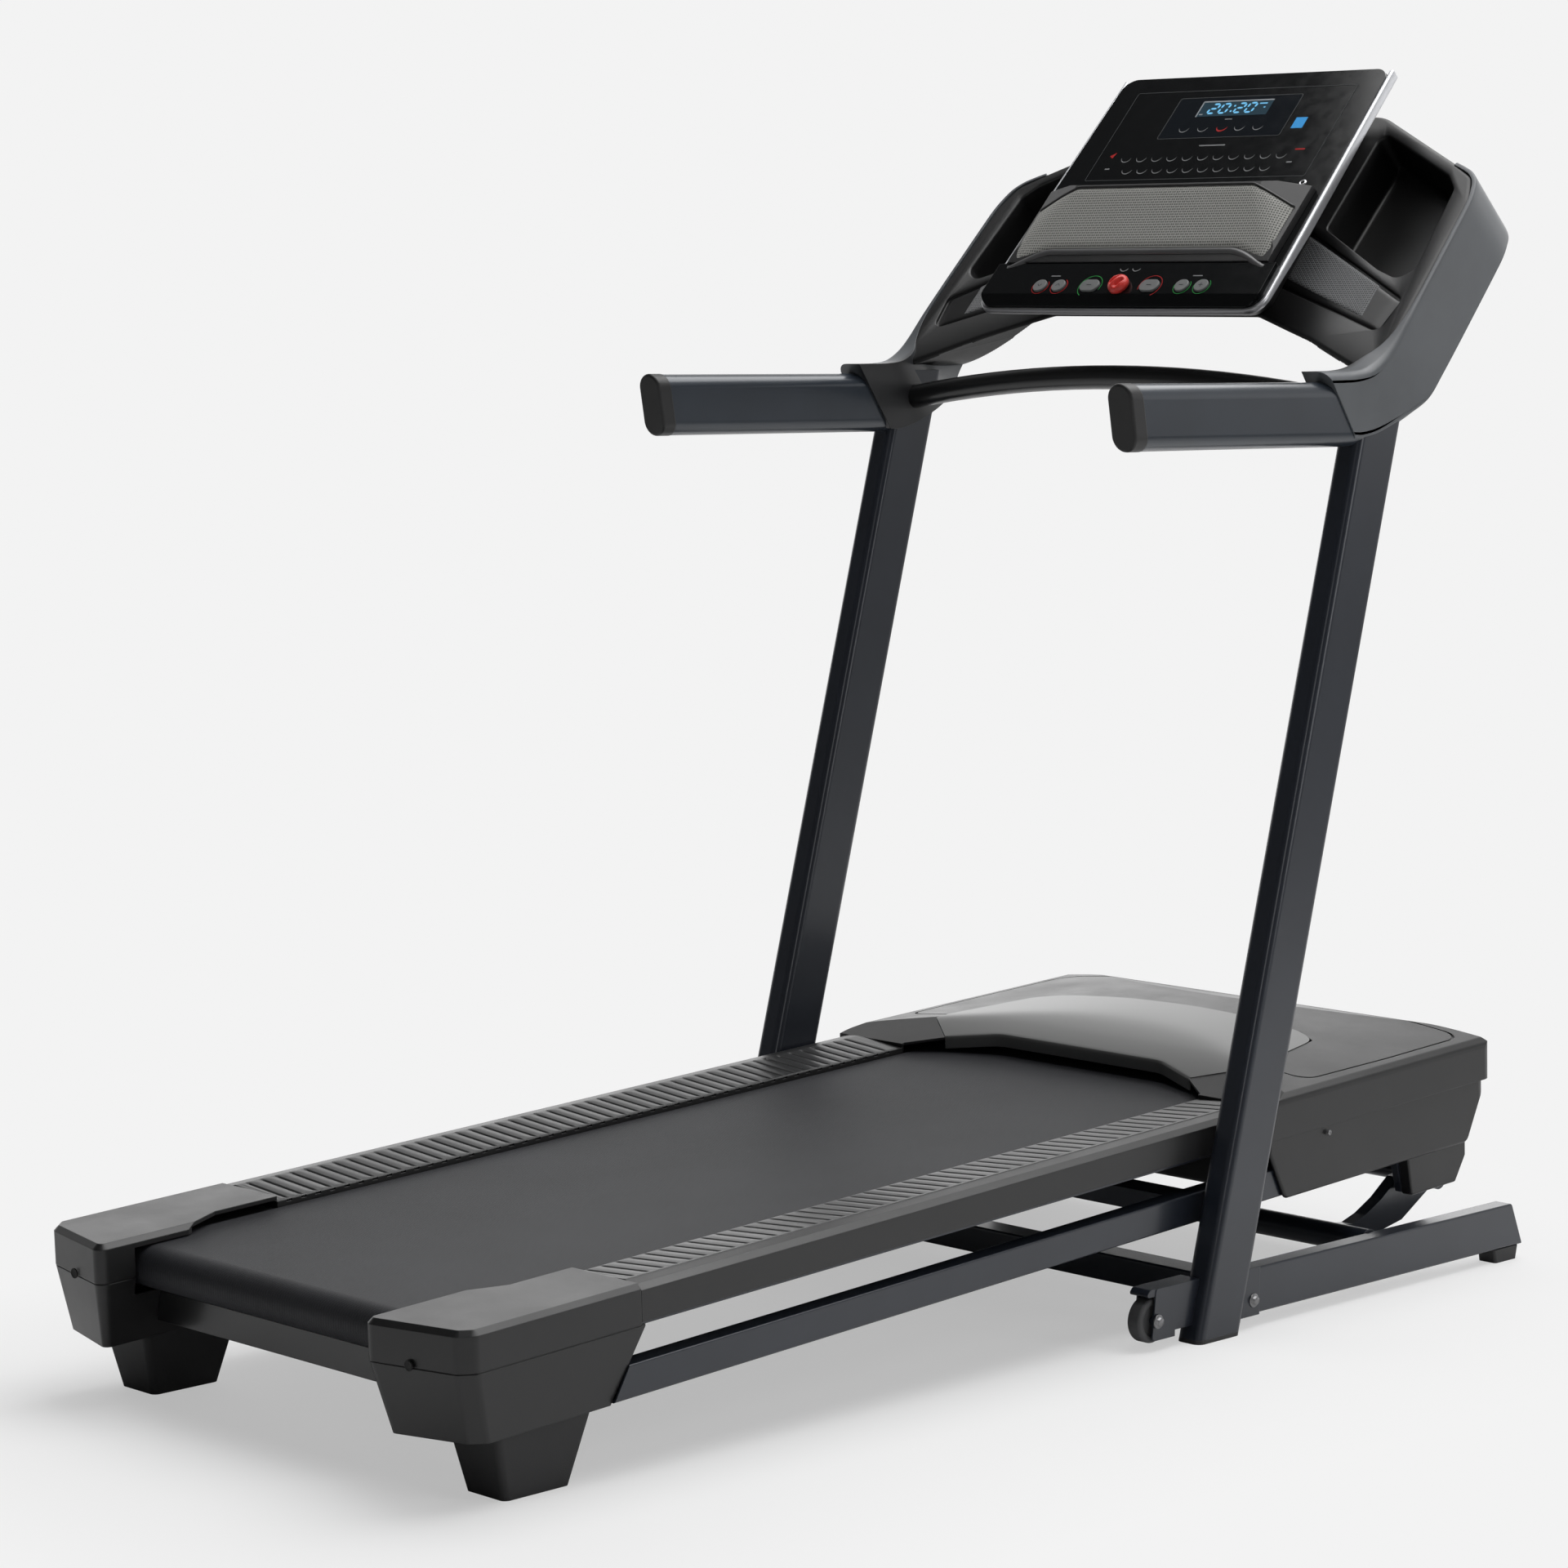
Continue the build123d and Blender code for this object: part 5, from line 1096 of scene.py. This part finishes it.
surround_corners = np.array([(0.152, 0.0885), (0.3755, -0.0025), (0.3845, 0.0485), (0.152, 0.1835)])
mat_cloth = weave("woven mat", 0.0034, (0.016, 0.017, 0.018), (0.155, 0.158, 0.162))
surround_rubber = moulding("mat surround", (0.0055, 0.0055, 0.006), 0.35, 1600.0, 0.00006)
for side, hand in hands:
    surround_shape = pad(surround_corners, side, tray_n + 0.0004, 0.0022)
    new_piece("mat_surround_" + hand, surround_shape, surround_rubber, "base")
    mat_shape = pad(mat_corners, side, tray_n + 0.0016, 0.0024)
    new_piece("mat_" + hand, mat_shape, mat_cloth, "base")

# ------------------------------
# Fasteners: zinc-plated hex bolts through the wheel forks and the floor tubes, and small round
# screws in the sides of the hood.
def turned_on_x(place, side, radii, depths, steps=36, hexagonal=0):
    """A profile turned about X, facing outwards by side; the first rings may be drawn in to a hexagon,
    where the radius is r cos 30 / cos(a - 60 round(a / 60))."""
    angle = np.linspace(0.0, 2.0 * math.pi, steps, endpoint=False)
    sixth = math.pi / 3
    flats = math.cos(sixth / 2) / np.cos(angle - sixth * np.round(angle / sixth))
    radius = np.asarray(radii, float)[:, None] * np.ones(steps)
    radius[:hexagonal] = radius[:hexagonal] * flats
    x = side * (place[0] + np.asarray(depths, float)[:, None]) + 0 * angle
    y = place[1] + radius * np.cos(angle)
    z = place[2] + radius * np.sin(angle)
    return np.stack([x, y, z], axis=-1).reshape(-1, 3), handed(quads(len(radii), steps, True), -side)


zinc = Finish("zinc plate")
zinc_drift = zinc.noise(260.0, 3.0)
zinc.set({
    "Base Color": zinc.blend(zinc_drift, (0.16, 0.16, 0.165), (0.30, 0.30, 0.305)),
    "Metallic": 1.0,
    "Roughness": zinc.span(zinc_drift, 0.3, 0.7, 0.28, 0.42),
    "Normal": zinc.relief(zinc_drift, 0.00004, 0.4),
})
hex_radii = (0.0001, 0.0050, 0.0058, 0.0058, 0.0066, 0.0086, 0.0088, 0.0088)
hex_depths = (0.0058, 0.0058, 0.0051, 0.0016, 0.0015, 0.0014, 0.0010, -0.0005)
screw_radii = (0.0001, 0.0012, 0.0016, 0.0030, 0.0036, 0.0036)
screw_depths = (0.0004, 0.0005, 0.0016, 0.0015, 0.0008, -0.0004)
bolt_places = {"fork_bolt_": (0.402, 0.172, 0.038), "floor_tube_bolt_": (0.4071, 0.352, 0.036)}
screw_place = (0.3755, 0.542, 0.218)
for side, hand in hands:
    for bolt_name, bolt_place in bolt_places.items():
        bolt_shape = turned_on_x(bolt_place, side, hex_radii, hex_depths, hexagonal=4)
        new_piece(bolt_name + hand, bolt_shape, zinc, "base")
    screw_shape = turned_on_x(screw_place, side, screw_radii, screw_depths)
    new_piece("hood_screw_" + hand, screw_shape, zinc, "deck")

# ------------------------------
# The silver plate on the hood: a thin moulding sprayed satin silver that follows the hood's crown
# and turns down in a lip over the belt.
def eased(points, count, reach):
    """A polyline resampled and rounded by a running mean weighted 1 + cos; its ends stay put."""
    line = evenly(points, count)
    ahead = 2 * line[:1] - line[reach:0:-1]
    after = 2 * line[-1:] - line[-2:-reach - 2:-1]
    padded = np.concatenate([ahead, line, after])
    weight = 1 + np.cos(np.linspace(-math.pi, math.pi, 2 * reach + 1))
    weight /= weight.sum()
    return np.stack([np.convolve(column, weight, "valid") for column in padded.T], axis=1)


def from_deck(y, z):
    """World (y, z) of a point given on the deck before its tilt about the rear feet."""
    y = y - foot_y
    c, s = math.cos(deck_turn), math.sin(deck_turn)
    return foot_y + y * c - z * s, y * s + z * c


def hood_height(x, y):
    """The hood's crown: the lower of a parabola across and a curve along, blended by a soft minimum
    -k log(exp(-a / k) + exp(-b / k))."""
    across = 0.2412 - x**2 / 5.108
    rise = through(
        [(0.433, 0.2045), (0.47, 0.2140), (0.50, 0.2215), (0.53, 0.2280), (0.56, 0.2332), (0.60, 0.2382),
         (0.64, 0.2412), (0.70, 0.2430), (0.78, 0.2434)], 120,
    )
    along = np.interp(y, rise[:, 0], rise[:, 1])
    soft = 0.0014
    return -soft * np.log(np.exp(-across / soft) + np.exp(-along / soft)) + 0.0006


deck_turn, foot_y = math.radians(2.9), -0.782
plate_columns = 181
plate_rear = eased([(-0.212, 0.470), (-0.140, 0.500), (0.140, 0.500), (0.212, 0.470)], plate_columns, 9)
plate_far = eased(
    [(-0.274, 0.520), (-0.242, 0.692), (-0.206, 0.714), (-0.110, 0.728), (0.0, 0.732), (0.110, 0.728),
     (0.206, 0.714), (0.242, 0.692), (0.274, 0.520)], plate_columns, 7,
)
plate_run = plate_far - plate_rear
plate_run /= np.linalg.norm(plate_run, axis=1, keepdims=True)
lip_turn = np.radians(np.linspace(0.0, 90.0, 7))
lip_radius, plate_thick = 0.0032, 0.0024
share = np.linspace(0.0, 1.0, 34)[1:]
plate_reach = np.linalg.norm(plate_far - plate_rear, axis=1) - lip_radius
forward_by = [0 * plate_reach, *(lip_radius * (1 - np.cos(a)) + 0 * plate_reach for a in lip_turn)]
forward_by = np.stack(forward_by + [lip_radius + plate_reach * t for t in share])
turn_down = np.concatenate([[0.0165], lip_radius * (1 - np.sin(lip_turn)), 0 * share])
side_part = np.concatenate([[1.0], np.cos(lip_turn), 0 * share])[:, None]
top_part = np.concatenate([[0.0], np.sin(lip_turn), 0 * share + 1])[:, None]
plan = plate_rear[None] + plate_run[None] * forward_by[..., None]
top_z = hood_height(plan[..., 0], plan[..., 1]) - turn_down[:, None]
inner_plan = plan + plate_run[None] * (plate_thick * side_part)[..., None]
inner_z = top_z - plate_thick * top_part
plate_plan = np.concatenate([plan, inner_plan[::-1]])
plate_z = np.concatenate([top_z, inner_z[::-1]])
plate_y, plate_up = from_deck(plate_plan[..., 1], plate_z)
plate_points = np.stack([plate_plan[..., 0], plate_y, plate_up], axis=-1)
plate_rows = len(plate_points)
seam = quads(2, plate_columns)
wrap = seam % plate_columns + np.where(seam >= plate_columns, 0, (plate_rows - 1) * plate_columns)
level = np.arange(len(plan) - 1)[:, None]
under = plate_rows - 1 - level
ends = [
    np.concatenate([level, level + 1, under - 1, under], axis=1) * plate_columns + column
    for column in (0, plate_columns - 1)
]
plate_faces = np.concatenate([quads(plate_rows, plate_columns), wrap, *ends])
plate_silver = Finish("satin silver paint")
plate_flake = plate_silver.noise(1800.0, 2.0)
plate_silver.set({
    "Base Color": plate_silver.blend(plate_flake, (0.11, 0.112, 0.11), (0.18, 0.182, 0.18)),
    "Metallic": 0.75,
    "Roughness": plate_silver.span(plate_flake, 0.3, 0.7, 0.30, 0.38),
    "Coat Weight": 0.2,
    "Coat Roughness": 0.2,
    "Normal": plate_silver.relief(plate_flake, 0.00002, 0.4),
})
plate = new_piece("hood_silver_plate", (plate_points, plate_faces), plate_silver, "deck")
shade_by_angle(facing_out(plate), 40.0)
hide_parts("hood_plate")

# ------------------------------
# Grip treads on the foot rails: low rounded bars moulded across each rail with narrow grooves
# between them, coloured lighter than the rails as painted light.  Screw holes in the end caps'
# rear faces are shallow dishes painted near black as shade.
bar_pitch = 0.022


def tread(side):
    """A height field over the rail: 0.7 mm proud, less 2.3 mm exp(-(d / 1.7 mm)^4) at a distance d from each
    groove, the grooves fading out near both edges, and the border tucked into the rail."""
    x = np.array([0.2582, 0.2588, *np.linspace(0.2596, 0.3398, 25), 0.3406, 0.3412])
    y = np.array([-0.6495, -0.6485, *np.arange(-0.6476, 0.4240, 0.0011), 0.4250, 0.4260])
    grid_x, grid_y = np.meshgrid(x, y)
    base = 0.1996 + (grid_x - 0.257) / 0.084 * 0.0068
    nearest = (grid_y + 0.632 + bar_pitch / 2) % bar_pitch - bar_pitch / 2
    inside = (grid_y > -0.640) & (grid_y < 0.410)
    window = np.clip((grid_x - 0.2615) / 0.003, 0, 1) * np.clip((0.3365 - grid_x) / 0.003, 0, 1) * inside
    groove = 0.0023 * np.exp(-((nearest / 0.0017) ** 4)) * window
    crown = 0.0004 * np.cos(nearest / (bar_pitch / 2) * math.pi) * window
    z = base + 0.0007 - groove - crown
    rim = np.minimum(np.minimum(grid_x - x[0], x[-1] - grid_x) / 0.0014, 1.0)
    rim = np.minimum(rim, np.minimum(grid_y - y[0], y[-1] - grid_y) / 0.0019)
    z = z - 0.0016 * (1 - np.sqrt(np.clip(1 - (1 - np.clip(rim, 0, 1)) ** 2, 0, 1)))
    world_y, world_z = from_deck(grid_y, z)
    return np.stack([side * grid_x, world_y, world_z], axis=-1), handed(quads(len(y), len(x)), side)


# Painted light: the treads on the rails' tops take a copy of the rails' warm grey plastic made nearly twice
# as light, for the light on those tops.
tread_lit_moulding = moulding("tread plastic lightened as painted light", (0.026, 0.0265, 0.027), 0.35)
# Painted shade: the screw holes are dishes under a millimetre deep, coloured near black for the shade inside
# real screw holes.
hole_shade_black = moulding("painted hole shade", (0.003, 0.003, 0.003), 0.7)
hole_radii = (0.0001, 0.0030, 0.0050, 0.0056, 0.0060, 0.0060)
hole_depths = (0.0001, 0.0001, 0.0002, 0.0005, 0.0004, -0.0008)
hole_points, hole_faces = turned_on_x((0.0, 0.0, 0.0), -1, hole_radii, hole_depths)
hole_y, hole_z = from_deck(hole_points[:, 0] - 0.9176, hole_points[:, 2] + 0.163)
for side, hand in hands:
    new_piece("rail_tread_" + hand, tread(side), tread_lit_moulding, "deck")
    hole = np.stack([side * 0.2935 + hole_points[:, 1], hole_y, hole_z], axis=-1)
    new_piece("cap_hole_" + hand, (hole, hole_faces), hole_shade_black, "deck")
